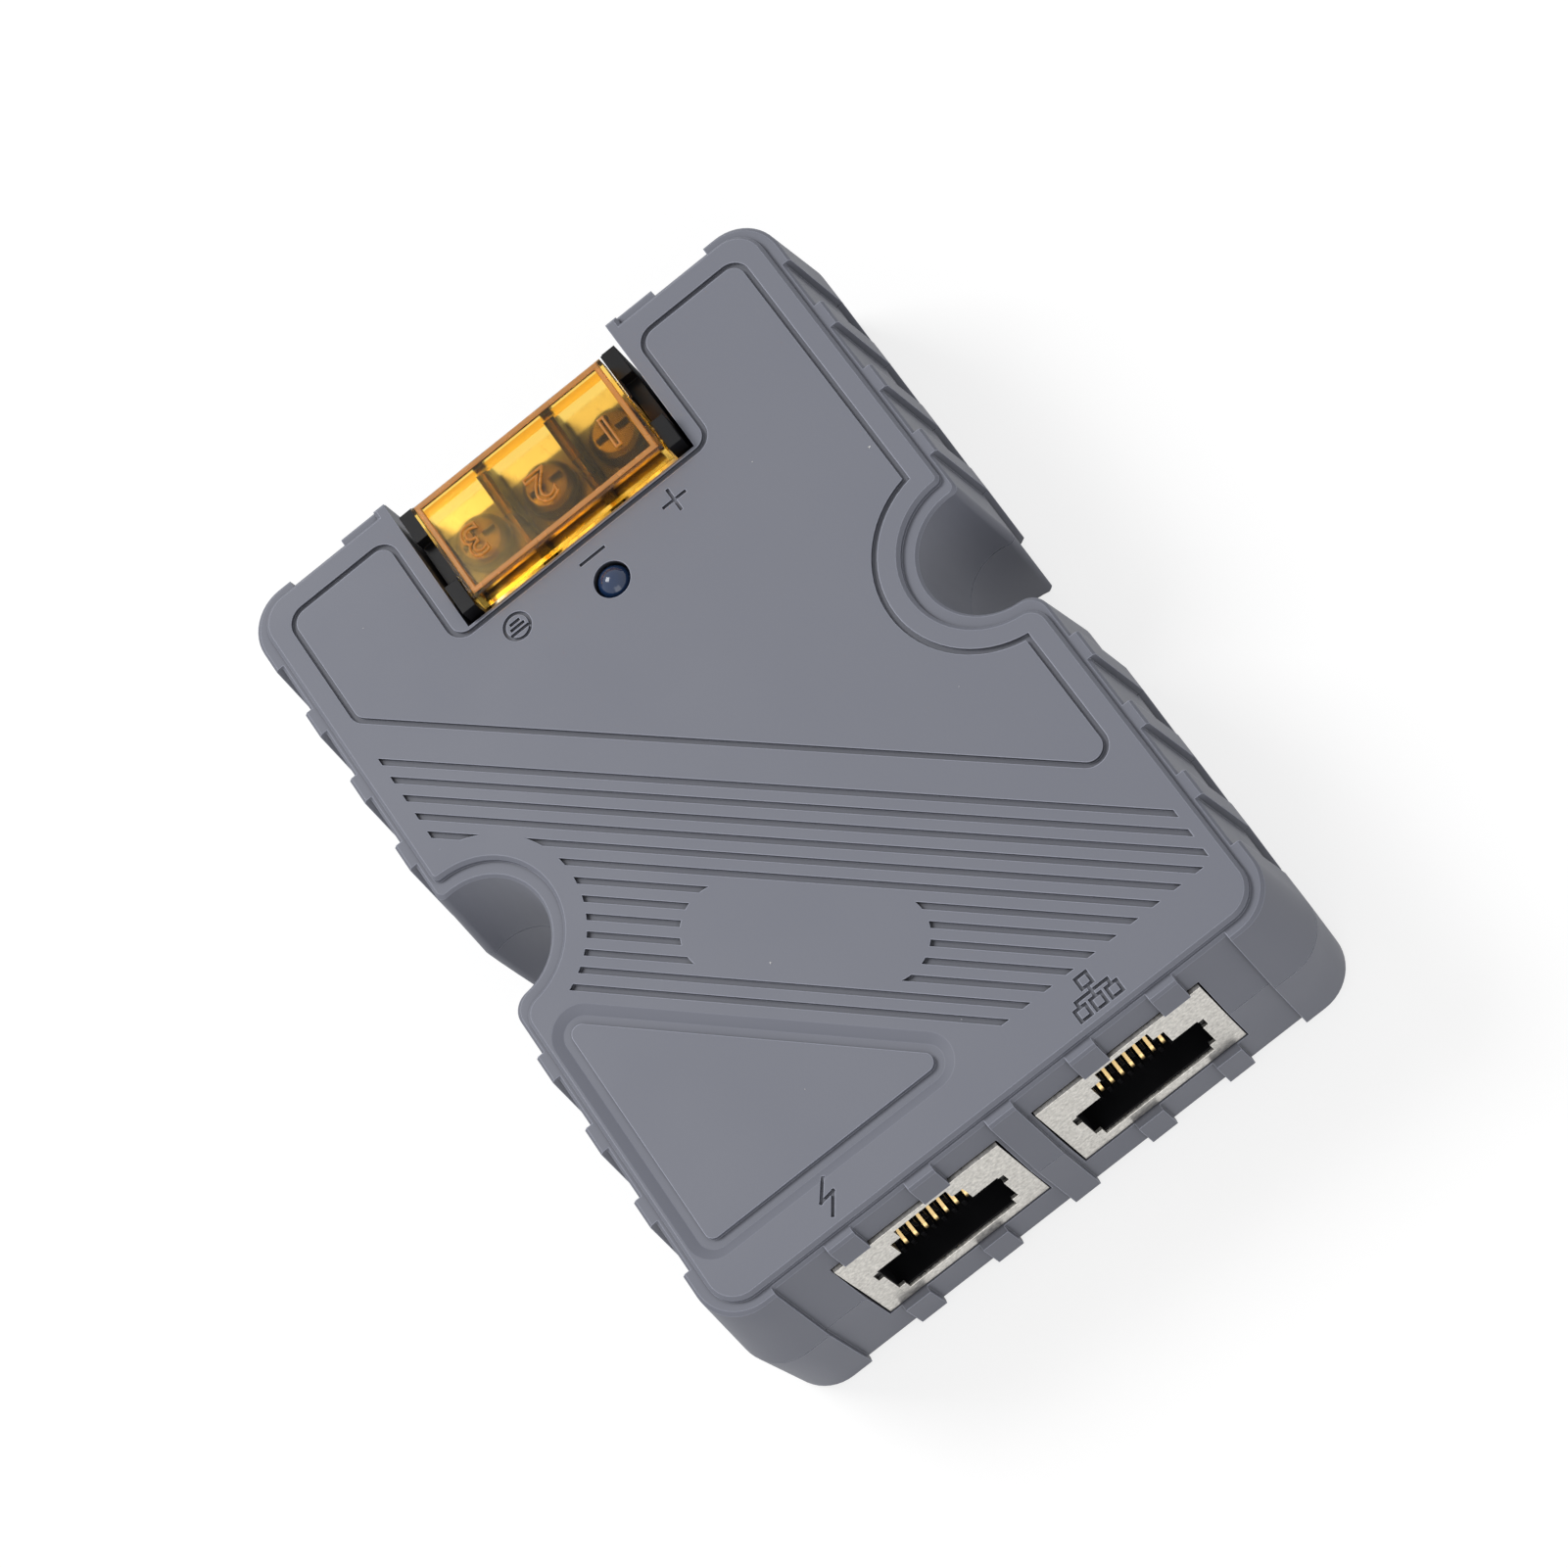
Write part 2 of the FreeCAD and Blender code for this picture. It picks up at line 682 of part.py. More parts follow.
def terminal_block():
    """The black terminal body: end walls with hinge posts, dividers and three wells."""
    half = block_half_width
    inner = half - block_end_wall
    body = box(-half, half, block_back, block_front, board_top, block_deck)
    pieces = [body]
    rest_start = block_back + hinge_post_length
    recess_end = block_front - hinge_post_length
    for x0, x1 in ((-half, -inner), (inner, half)):
        end_top = cover_top - block_end_drop
        pieces.append(box(x0, x1, block_back, rest_start, block_deck - 1, cover_top - hinge_post_drop))
        pieces.append(box(x0, x1, rest_start, recess_end, block_deck - 1, end_top - block_end_recess))
        pieces.append(box(x0, x1, recess_end, block_front, block_deck - 1, end_top))
    high_start = hinge_y + cover_skirt_height
    high_end = cover_front - cover_sheet - cover_inside_gap
    back_top = cover_top - divider_back_drop
    high_top = cover_top - divider_top_drop
    front_top = cover_top - divider_front_drop
    for side in (-1, 1):
        x0 = side * terminal_pitch / 2 - block_divider / 2
        outline = [(block_back, block_deck - 1), (block_front, block_deck - 1),
                   (block_front, front_top), (high_end, front_top), (high_end, high_top),
                   (high_start, high_top), (high_start, back_top), (block_back, back_top)]
        points = [Vector(x0, y, z) for y, z in outline]
        pieces.append(cut_profile(points, Vector(1, 0, 0), block_divider))
    block = fuse_all(pieces)
    cuts = []
    for way in range(1, way_count + 1):
        centre = way_centre(way)
        side = block_well / 2
        cuts.append(box(centre - side, centre + side, screw_line - side, screw_line + side,
                        head_bottom - terminal_screw_length - 0.7, block_deck + 1))
    pin_hole = hinge_pin_radius + hinge_run_gap
    hole = Part.makeCylinder(pin_hole, terminal_opening_width, Vector(-half - 1, hinge_y, hinge_height),
                             Vector(1, 0, 0))
    return block.cut(cuts + [hole])


def terminal_plate(way):
    """The fixed contact of one way: a tapped plate whose tail runs down to the board."""
    centre = way_centre(way)
    half = clamp_size / 2
    tail_back = block_back - block_back_gap / 2 - 0.2
    plate = box(centre - half, centre + half, block_back - 0.02, block_front - 0.4, block_deck, plate_top)
    hole = rod(centre, screw_line, block_deck - 1, plate_top + 1, terminal_screw_radius + screw_run_gap)
    tail = box(centre - 0.6, centre + 0.6, tail_back, block_back, board_top, plate_top)
    return fuse_all([plate, tail]).cut(hole)


def clamp_washer(way):
    """The square washer that presses a wire on the plate."""
    centre = way_centre(way)
    half = clamp_size / 2
    washer = box(centre - half, centre + half, screw_line - half, screw_line + half, plate_top, clamp_top)
    return washer.cut(rod(centre, screw_line, 0, reach, terminal_screw_radius + screw_run_gap))


def terminal_screw(way):
    """A pan-headed terminal screw."""
    centre = way_centre(way)
    head_top = head_bottom + terminal_head_height
    head = rod(centre, screw_line, head_bottom, head_top, terminal_head_radius)
    shank = rod(centre, screw_line, head_bottom - terminal_screw_length, head_bottom,
                terminal_screw_radius)
    return fuse_all([head, shank])


def terminal_cover():
    """The hinged amber cover: a thin lid with a skirt, a front lip, two cheeks and hinge pins."""
    half = cover_half_width
    under = cover_top - cover_sheet
    shell = box(-half, half, cover_back, cover_front, cover_top - cover_skirt_height, cover_top)
    rim = [edge for edge in shell.Edges
           if edge.BoundBox.XLength > cover_width / 2 and edge.BoundBox.ZMin > under]
    shell = shell.makeFillet(cover_edge_radius, rim)
    inner = box(-half + cover_cheek, half - cover_cheek, cover_back + cover_sheet,
                cover_front - cover_sheet, 0, under)
    front_trim = box(-half, half, cover_front - cover_sheet, cover_front, 0, cover_top - cover_lip_height)
    cheek_trim = box(-half, half, cover_back + hinge_back_distance + hinge_pin_radius, cover_front, 0,
                     cover_top - cover_cheek_height)
    lid = shell.cut([inner, front_trim, cheek_trim])
    start = cover_half_width - cover_cheek
    pieces = [lid]
    for side in (-1, 1):
        base = Vector(side * start, hinge_y, hinge_height)
        pieces.append(Part.makeCylinder(hinge_pin_radius, cover_cheek + hinge_pin_length, base,
                                        Vector(side, 0, 0)))
    return fuse_all(pieces)


def power_lamp():
    """A round lamp with a bevelled head and two leads down to the board."""
    top = plateau_top + lamp_stand_out
    lower = top - lamp_height
    body = rod(0, lamp_y, lower, top, lamp_radius)
    rim = [edge for edge in body.Edges if edge.BoundBox.ZMin > top - 1e-4]
    pieces = [body.makeChamfer(lamp_radius / 2, rim)]
    half = lamp_lead / 2
    for x in (-lamp_lead_pitch / 2, lamp_lead_pitch / 2):
        pieces.append(box(x - half, x + half, lamp_y - half, lamp_y + half, board_top, lower + 0.5))
    return fuse_all(pieces)


def capacitor(centre_x, centre_y):
    """A can capacitor."""
    return rod(centre_x, centre_y, board_top, board_top + capacitor_height, capacitor_radius)


def board_block(size, centre_x, centre_y):
    """A small moulded part on the board, its top edges bevelled."""
    length, width, height = size
    block = box(centre_x - length / 2, centre_x + length / 2, centre_y - width / 2, centre_y + width / 2,
                board_top, board_top + height)
    rim = [edge for edge in block.Edges if edge.BoundBox.ZMin > board_top + height - 1e-4]
    return block.makeChamfer(0.4, rim)


def save(name, shape):
    """Write one node."""
    shape.exportStep("parts/" + name + ".step")


def main():
    os.makedirs("parts", exist_ok=True)
    save("upper_shell", upper_shell())
    save("lower_shell", lower_shell())
    save("case_screws", case_screws())
    save("circuit_board", circuit_board())
    for name, centre in (("poe_jack", -jack_centre_x), ("lan_jack", jack_centre_x)):
        save(name + "_shield", jack_shield(centre))
        save(name + "_insert", jack_insert(centre))
        save(name + "_contacts", jack_contacts(centre))
    save("terminal_block", terminal_block())
    for way in range(1, way_count + 1):
        number = str(way)
        save("terminal_plate_" + number, terminal_plate(way))
        save("clamp_washer_" + number, clamp_washer(way))
        save("terminal_screw_" + number, terminal_screw(way))
    save("terminal_cover", terminal_cover())
    save("power_lamp", power_lamp())
    first_row = jack_face + jack_depth + front_row_gap + transformer_size[1] / 2
    save("network_transformer_1", board_block(transformer_size, -transformer_x, first_row))
    save("network_transformer_2", board_block(transformer_size, transformer_x, first_row))
    save("board_fuse", board_block(fuse_size, -side_part_x, first_row))
    save("surge_diode", board_block(diode_size, side_part_x, first_row))
    last_row = opening_back - wall - back_row_gap
    save("common_mode_choke", board_block(choke_size, -choke_x, last_row - choke_size[1] / 2))
    save("filter_capacitor", capacitor(capacitor_x, last_row - capacitor_radius))


main()
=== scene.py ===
"""Looks of a passive network power injector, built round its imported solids."""

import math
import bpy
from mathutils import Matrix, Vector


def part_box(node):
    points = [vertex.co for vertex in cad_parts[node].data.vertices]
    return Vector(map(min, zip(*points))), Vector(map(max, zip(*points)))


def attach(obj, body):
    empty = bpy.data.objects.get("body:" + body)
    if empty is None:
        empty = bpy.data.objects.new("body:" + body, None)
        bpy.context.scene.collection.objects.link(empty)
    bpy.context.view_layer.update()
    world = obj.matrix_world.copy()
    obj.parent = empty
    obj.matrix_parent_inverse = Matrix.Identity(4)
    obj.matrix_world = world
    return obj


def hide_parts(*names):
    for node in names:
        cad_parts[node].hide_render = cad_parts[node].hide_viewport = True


bl_info = {
    "name": "Network power injector",
    "version": (1, 0, 0),
    "blender": (4, 5, 0),
    "location": "3D View > Sidebar > Injector",
    "description": "Finishes the injector's case, jacks, terminal, cover and lamp, and sets its studio",
    "category": "Object",
}

import bmesh
import bpy
from bpy.props import FloatProperty, FloatVectorProperty, IntProperty, PointerProperty
from mathutils import Matrix, Vector

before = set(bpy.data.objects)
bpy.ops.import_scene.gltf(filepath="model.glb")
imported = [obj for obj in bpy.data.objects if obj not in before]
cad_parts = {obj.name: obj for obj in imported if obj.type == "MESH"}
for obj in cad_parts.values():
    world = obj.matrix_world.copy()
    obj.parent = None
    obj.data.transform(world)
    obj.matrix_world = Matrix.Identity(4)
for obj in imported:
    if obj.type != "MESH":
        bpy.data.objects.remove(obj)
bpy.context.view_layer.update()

MM = 0.001
HOUSING = "housing"
WAYS = (1, 2, 3)
SMOOTH_ANGLE = math.radians(20)


def box_of(node):
    """Low and high corner of a node's box."""
    low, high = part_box(node)
    return Vector(low), Vector(high)


def centre_of(node):
    """Middle of a node's box."""
    low, high = box_of(node)
    return (low + high) / 2


# Places read from the frame
TOP_Z = box_of("upper_shell")[1].z
COVER_LOW, COVER_HIGH = box_of("terminal_cover")
LAMP = centre_of("power_lamp")
JACKS = {"poe": centre_of("poe_jack_shield"), "lan": centre_of("lan_jack_shield")}
JACK_FACE = box_of("poe_jack_shield")[0].y
PORT_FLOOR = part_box("poe_jack_contacts")[0][2]
SCREWS = {way: centre_of("terminal_screw_%d" % way) for way in WAYS}
HEAD_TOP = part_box("terminal_screw_1")[1][2]
SCREW_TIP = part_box("terminal_screw_1")[0][2]
BOARD_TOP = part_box("circuit_board")[1][2]


class InjectorSizes(bpy.types.PropertyGroup):
    """Sizes of the parts that only the looks have."""
    mark_depth: FloatProperty(name="Mark depth", description="Depth of the engraved signs",
                              default=0.25 * MM, unit="LENGTH", precision=5)
    mark_line: FloatProperty(name="Mark line", description="Line width of the engraved signs",
                             default=0.3 * MM, unit="LENGTH", precision=5)
    edge_round: FloatProperty(name="Edge round", description="Radius of the moulded edges",
                              default=0.14 * MM, unit="LENGTH", precision=5)
    contact_count: IntProperty(name="Contacts", description="Sprung contacts in a jack", default=8)
    contact_pitch: FloatProperty(name="Contact pitch", description="Distance between two contacts",
                                 default=1.02 * MM, unit="LENGTH", precision=5)
    contact_wire: FloatProperty(name="Contact wire", description="Width of a contact",
                                default=0.46 * MM, unit="LENGTH", precision=5)
    thread_pitch: FloatProperty(name="Thread pitch", description="Pitch of the terminal screws",
                                default=0.5 * MM, unit="LENGTH", precision=5)
    numeral_height: FloatProperty(name="Numeral height", description="Height of the raised way numbers",
                                  default=3.2 * MM, unit="LENGTH", precision=5)
    lens: FloatProperty(name="Lens", description="Focal length of the camera, in millimetres",
                        default=120.0)
    key_power: FloatProperty(name="Key light", description="Power of the key light", default=3.6,
                             unit="POWER")
    fill_power: FloatProperty(name="Fill light", description="Power of the fill light", default=1.6,
                              unit="POWER")


class InjectorColours(bpy.types.PropertyGroup):
    """Base colours of the finishes."""
    case: FloatVectorProperty(name="Case", description="Bluish grey moulded plastic", subtype="COLOR",
                              default=(0.176, 0.184, 0.222))
    black: FloatVectorProperty(name="Black plastic", description="Jack inserts and terminal body",
                               subtype="COLOR", default=(0.008, 0.008, 0.009))
    nickel: FloatVectorProperty(name="Nickel", description="Jack shields, case screws and leads",
                                subtype="COLOR", default=(0.62, 0.6, 0.56))
    gold: FloatVectorProperty(name="Gold", description="Contacts", subtype="COLOR",
                              default=(0.6, 0.43, 0.2))
    relief: FloatVectorProperty(name="Relief", description="Thicker amber of the cover's rim and numbers",
                                subtype="COLOR", default=(0.78, 0.35, 0.07))
    # The zinc colour is darker than bare plating, as painted shade for the dim light under the cover.
    zinc: FloatVectorProperty(name="Zinc", description="Dulled terminal screws and clamp washers",
                              subtype="COLOR", default=(0.1, 0.088, 0.065))
    brass: FloatVectorProperty(name="Plated brass", description="Terminal plates", subtype="COLOR",
                               default=(0.5, 0.43, 0.29))
    amber: FloatVectorProperty(name="Amber", description="Clear moulded cover", subtype="COLOR",
                               default=(1.0, 0.66, 0.13))
    lamp: FloatVectorProperty(name="Lamp", description="Tinted lamp body", subtype="COLOR",
                              default=(0.014, 0.04, 0.115))
    board: FloatVectorProperty(name="Board", description="Lacquer of the circuit board",
                               subtype="COLOR", default=(0.012, 0.12, 0.04))


def sizes():
    """The scene's sizes."""
    return bpy.context.scene.injector_sizes


def colours():
    """The scene's colours."""
    return bpy.context.scene.injector_colours


def feed(tree, node, inputs):
    """A node's inputs, each given a plain value or another node's socket."""
    for name, value in inputs.items():
        if isinstance(value, bpy.types.NodeSocket):
            tree.links.new(value, node.inputs[name])
        else:
            node.inputs[name].default_value = value


def new_node(tree, kind, inputs):
    """A new node with its inputs."""
    node = tree.nodes.new(kind)
    feed(tree, node, inputs)
    return node


def new_material(name):
    """A node material with its tree, its shader and the object coordinates."""
    material = bpy.data.materials.new(name)
    material.use_nodes = True
    tree = material.node_tree
    coordinates = tree.nodes.new("ShaderNodeTexCoord")
    return material, tree, tree.nodes["Principled BSDF"], coordinates.outputs["Object"]


def noise(tree, vector, scale, detail=2.0, roughness=0.5):
    """A noise pattern's value."""
    node = new_node(tree, "ShaderNodeTexNoise", {
        "Vector": vector, "Scale": scale, "Detail": detail, "Roughness": roughness})
    return node.outputs["Fac"]


def map_range(tree, value, start, end, low, high):
    """A value carried from start..end to low..high."""
    node = new_node(tree, "ShaderNodeMapRange", {
        "Value": value, "From Min": start, "From Max": end, "To Min": low, "To Max": high})
    return node.outputs["Result"]


def ramp(tree, value, low, high):
    """A noise pattern's usual span carried to low..high."""
    return map_range(tree, value, 0.3, 0.7, low, high)


def varied(tree, value, colour, spread):
    """A colour made a little darker and lighter by a pattern."""
    mix = tree.nodes.new("ShaderNodeMix")
    mix.data_type = "RGBA"
    feed(tree, mix, {
        "A": [channel * (1 - spread) for channel in colour] + [1],
        "B": [min(1, channel * (1 + spread)) for channel in colour] + [1], "Factor": value})
    return mix.outputs["Result"]


def edge_normal(tree, radius):
    """Normals that round the sharp edges."""
    bevel = new_node(tree, "ShaderNodeBevel", {"Radius": radius})
    bevel.samples = 6
    return bevel.outputs["Normal"]


def bumped(tree, shader, value, distance, strength, edge_radius=0.0):
    """Fine relief from a pattern, with rounded edges where a radius is given."""
    bump = new_node(tree, "ShaderNodeBump", {"Distance": distance, "Strength": strength, "Height": value})
    if edge_radius > 0:
        feed(tree, bump, {"Normal": edge_normal(tree, edge_radius)})
    feed(tree, shader, {"Normal": bump.outputs["Normal"]})


def worn_colour(tree, value, colour, spread, edge_radius, lift, reach, depth):
    """A varied colour with a painted highlight along the sharp edges and painted shade in narrow
    crevices.
    """
    surface = tree.nodes.new("ShaderNodeNewGeometry")
    likeness = tree.nodes.new("ShaderNodeVectorMath")
    likeness.operation = "DOT_PRODUCT"
    feed(tree, likeness, {0: edge_normal(tree, edge_radius), 1: surface.outputs["Normal"]})
    # Painted highlight: paler where the rounded-edge normals turn away from the true normals.
    flat, folded = 0.995, 0.8
    edge_highlight = map_range(tree, likeness.outputs["Value"], flat, folded, 1.0, lift)
    # Painted shade: darker where ambient occlusion finds near walls.
    crevice = new_node(tree, "ShaderNodeAmbientOcclusion", {"Distance": reach})
    crevice.samples = 8
    closed, open_air = 0.25, 0.8
    shade = map_range(tree, crevice.outputs["AO"], closed, open_air, depth, 1.0)
    both = new_node(tree, "ShaderNodeMath", {0: edge_highlight, 1: shade})
    both.operation = "MULTIPLY"
    scaled = tree.nodes.new("ShaderNodeVectorMath")
    scaled.operation = "SCALE"
    feed(tree, scaled, {0: varied(tree, value, colour, spread), "Scale": both.outputs[0]})
    return scaled.outputs["Vector"]


def satin_case():
    """Satin plastic with a fine spark-eroded grain, painted highlights along the moulded edges and
    painted shade in crevices.
    """
    material, tree, shader, place = new_material("satin_case")
    cloud = noise(tree, place, 90.0, 3.0)
    round_over = sizes().edge_round
    # Painted highlight on the moulded edges and painted shade in the grooves and seams.
    colour = worn_colour(tree, cloud, colours().case, spread=0.035, edge_radius=round_over, lift=3.2,
                         reach=0.6 * MM, depth=0.2)
    feed(tree, shader, {"Base Color": colour, "Roughness": ramp(tree, cloud, 0.5, 0.58),
                        "Specular IOR Level": 0.42})
    bumped(tree, shader, noise(tree, place, 5200.0, 2.0, 0.6), 0.02 * MM, 0.35, round_over)
    return material


def black_moulding():
    """Black moulded plastic with a soft sheen."""
    material, tree, shader, place = new_material("black_moulding")
    cloud = noise(tree, place, 240.0, 2.0)
    feed(tree, shader, {"Base Color": varied(tree, cloud, colours().black, 0.25),
                        "Roughness": ramp(tree, cloud, 0.3, 0.42), "Specular IOR Level": 0.14})
    bumped(tree, shader, noise(tree, place, 4000.0), 0.01 * MM, 0.3, 0.1 * MM)
    return material


def rolled_metal(name, colour, low, high, along, speckled_with_painted_light=False):
    """Plated sheet or wire with a rolled grain, roughness low..high; when speckled, also a fine speckle,
    painted highlights along its edges and painted shade in its notches and crevices.
    """
    material, tree, shader, place = new_material(name)
    mapping = new_node(tree, "ShaderNodeMapping", {"Scale": along, "Vector": place})
    grain = noise(tree, mapping.outputs["Vector"], 1.0, 3.0, 0.6)
    if speckled_with_painted_light:
        speckle = ramp(tree, noise(tree, place, 2600.0, 4.0, 0.7), 0.0, 1.0)
        # Painted highlight along the folds and painted shade in the notches and crevices.
        tinge = worn_colour(tree, speckle, colour, spread=0.3, edge_radius=0.1 * MM, lift=1.5,
                            reach=0.5 * MM, depth=0.05)
    else:
        tinge = varied(tree, noise(tree, place, 420.0, 3.0), colour, 0.12)
    feed(tree, shader, {"Base Color": tinge, "Metallic": 1.0, "Roughness": ramp(tree, grain, low, high)})
    bumped(tree, shader, grain, 0.006 * MM, 0.3, 0.06 * MM)
    return material


def nickel_shield():
    """Nickel-plated sheet of the jack shields, with a fine speckle, painted highlights on its folds and
    painted shade in its notches.
    """
    return rolled_metal("nickel_shield", colours().nickel, 0.3, 0.48, (3200, 500, 3200), speckled_with_painted_light=True)


def nickel_screw():
    """Plated steel of the case screws, the lamp's leads and the capacitor's can."""
    return rolled_metal("nickel_screw", colours().nickel, 0.22, 0.36, (2600, 2600, 900))


def dulled_zinc():
    """Dull plating of the terminal's screws and clamp washers, its colour darkened as painted shade for
    the dim light under the cover.
    """
    return rolled_metal("dulled_zinc", colours().zinc, 0.3, 0.46, (2600, 2600, 900))


def plated_brass():
    """Plated brass of the terminal plates."""
    return rolled_metal("plated_brass", colours().brass, 0.25, 0.4, (2400, 700, 2400))


def gold_flash():
    """Gold flash on the sprung contacts."""
    return rolled_metal("gold_flash", colours().gold, 0.18, 0.3, (4000, 800, 4000))


def clear_amber():
    """Clear amber plastic that lets tinted light through to the screws."""
    material, tree, shader, place = new_material("clear_amber")
    cloud = noise(tree, place, 160.0, 2.0)
    feed(tree, shader, {
        "Base Color": varied(tree, cloud, colours().amber, 0.03), "Transmission Weight": 1.0,
        "IOR": 1.3, "Roughness": ramp(tree, cloud, 0.12, 0.2)})
    bumped(tree, shader, noise(tree, place, 700.0), 0.02 * MM, 0.14)
    clear = new_node(tree, "ShaderNodeBsdfTransparent", {"Color": list(colours().amber) + [1]})
    rays = tree.nodes.new("ShaderNodeLightPath")
    mix = new_node(tree, "ShaderNodeMixShader", {
        0: rays.outputs["Is Shadow Ray"], 1: shader.outputs[0], 2: clear.outputs[0]})
    feed(tree, tree.nodes["Material Output"], {"Surface": mix.outputs[0]})
    return material


def amber_relief():
    """The cover's raised numbers and rim, where thicker plastic blurs what lies below."""
    material, tree, shader, place = new_material("amber_relief")
    cloud = noise(tree, place, 600.0, 2.0)
    feed(tree, shader, {
        "Base Color": varied(tree, cloud, colours().relief, 0.15), "Transmission Weight": 0.45,
        "IOR": 1.4, "Roughness": ramp(tree, cloud, 0.2, 0.3)})
    return material


def lamp_resin():
    """Tinted resin of the lamp."""
    material, tree, shader, place = new_material("lamp_resin")
    cloud = noise(tree, place, 500.0, 2.0)
    feed(tree, shader, {
        "Base Color": varied(tree, cloud, colours().lamp, 0.15), "Transmission Weight": 0.15,
        "IOR": 1.52, "Coat Weight": 0.2, "Roughness": ramp(tree, cloud, 0.08, 0.16)})
    return material


def board_lacquer():
    """Green lacquer over copper tracks."""
    material, tree, shader, place = new_material("board_lacquer")
    green = Vector(colours().board)
    bricks = new_node(tree, "ShaderNodeTexBrick", {
        "Vector": place, "Scale": 160.0, "Mortar Size": 0.06, "Color1": list(green) + [1],
        "Color2": list(green * 1.3) + [1], "Mortar": list(green * 0.55) + [1]})
    feed(tree, shader, {"Base Color": bricks.outputs["Color"],
                        "Roughness": ramp(tree, noise(tree, place, 300.0), 0.25, 0.35)})
    return material


def dust_white():
    """Pale dust."""
    material, tree, shader, place = new_material("dust_white")
    feed(tree, shader, {
        "Base Color": varied(tree, noise(tree, place, 3000.0), (0.8, 0.8, 0.78), 0.1), "Roughness": 0.9})
    return material


FINISHES = {
    "satin_case": satin_case, "black_moulding": black_moulding, "nickel_shield": nickel_shield,
    "nickel_screw": nickel_screw, "dulled_zinc": dulled_zinc, "plated_brass": plated_brass,
    "gold_flash": gold_flash, "clear_amber": clear_amber, "amber_relief": amber_relief,
    "lamp_resin": lamp_resin, "board_lacquer": board_lacquer, "dust_white": dust_white,
}


def finish_named(name):
    """A finish, made once and then shared."""
    return bpy.data.materials.get(name) or FINISHES[name]()


def new_object(name, data):
    """A new object in the scene."""
    obj = bpy.data.objects.new(name, data)
    bpy.context.scene.collection.objects.link(obj)
    return obj


def add_mesh(name, shape, finish, smooth=True):
    """A new object at the origin from a bmesh, with its faces turned outwards."""
    bmesh.ops.recalc_face_normals(shape, faces=shape.faces)
    mesh = bpy.data.meshes.new(name)
    shape.to_mesh(mesh)
    shape.free()
    obj = new_object(name, mesh)
    mesh.materials.clear()
    mesh.materials.append(finish_named(finish))
    if smooth:
        smooth_by_angle(mesh)
    return obj


def smooth_by_angle(mesh):
    """Smooth shading with the sharp edges kept."""
    mesh.shade_smooth()
    mesh.set_sharp_from_angle(angle=SMOOTH_ANGLE)


def settle(obj, body, slot_name, *nodes):
    """The piece rides on its body and stands for its nodes."""
    if nodes:
        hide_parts(*nodes)
    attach(obj, body)


def merged_copy(node):
    """A node's solid as a closed bmesh, without the shading normals of its loose triangles."""
    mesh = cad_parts[node].data.copy()
    for attribute in list(mesh.attributes):
        if attribute.name == "custom_normal":
            mesh.attributes.remove(attribute)
    shape = bmesh.new()
    shape.from_mesh(mesh)
    bpy.data.meshes.remove(mesh)
    bmesh.ops.remove_doubles(shape, verts=shape.verts, dist=1e-6)
    return shape


def apply_modifiers(obj, smooth=True):
    """The evaluated mesh takes the place of the modifiers."""
    graph = bpy.context.evaluated_depsgraph_get()
    mesh = bpy.data.meshes.new_from_object(obj.evaluated_get(graph))
    obj.modifiers.clear()
    obj.data = mesh
    if smooth:
        smooth_by_angle(mesh)


def keep_flats_flat(obj):
    """Shading normals that follow the large flat faces."""
    modifier = obj.modifiers.new("normals", "WEIGHTED_NORMAL")
    modifier.mode = "FACE_AREA"
    modifier.weight = 100
    modifier.keep_sharp = True
    apply_modifiers(obj, smooth=False)


def carve(obj, cutter):
    """A cutter's shape taken out of a piece."""
    modifier = obj.modifiers.new("carve", "BOOLEAN")
    modifier.operation = "DIFFERENCE"
    modifier.solver = "EXACT"
    modifier.use_self = True
    modifier.object = cutter
    apply_modifiers(obj)
    if not obj.data.polygons:
        raise RuntimeError(obj.name + " has no faces left after carving")
    bpy.data.objects.remove(cutter)


def round_edges(obj, width, segments=2):
    """Small rounds on a simple piece's sharp edges."""
    modifier = obj.modifiers.new("edges", "BEVEL")
    modifier.width = width
    modifier.segments = segments
    modifier.limit_method = "ANGLE"
    modifier.angle_limit = SMOOTH_ANGLE
    apply_modifiers(obj)


def dress(name, node, finish, body, slot_name, edge=0.0, segments=2):
    """A node's solid in its finish, with rounded edges where a width is given."""
    obj = add_mesh(name, merged_copy(node), finish)
    if edge > 0:
        round_edges(obj, edge, segments)
    settle(obj, body, slot_name, node)


def add_block(shape, low, high):
    """A block between two corners, added to a bmesh."""
    low, high = Vector(low), Vector(high)
    middle = (low + high) / 2
    scale = Matrix.Diagonal((high - low).to_4d())
    scale[3][3] = 1.0
    bmesh.ops.create_cube(shape, size=1.0, matrix=Matrix.Translation(middle) @ scale)


def add_lathe(shape, profile, centre, steps=48):
    """A turned form: profile is a list of (radius, height) from its foot to its top."""
    rings = []
    for radius, height in profile:
        if radius < 1e-7:
            rings.append([shape.verts.new((centre[0], centre[1], height))])
            continue
        ring = []
        for step in range(steps):
            turn = 2 * math.pi * step / steps
            ring.append(shape.verts.new((centre[0] + radius * math.cos(turn),
                                         centre[1] + radius * math.sin(turn), height)))
        rings.append(ring)
    for lower, upper in zip(rings, rings[1:]):
        for step in range(steps):
            following = (step + 1) % steps
            corners = [lower[step % len(lower)], lower[following % len(lower)],
                       upper[following % len(upper)], upper[step % len(upper)]]
            corners = list(dict.fromkeys(corners))
            if len(corners) > 2:
                shape.faces.new(corners)


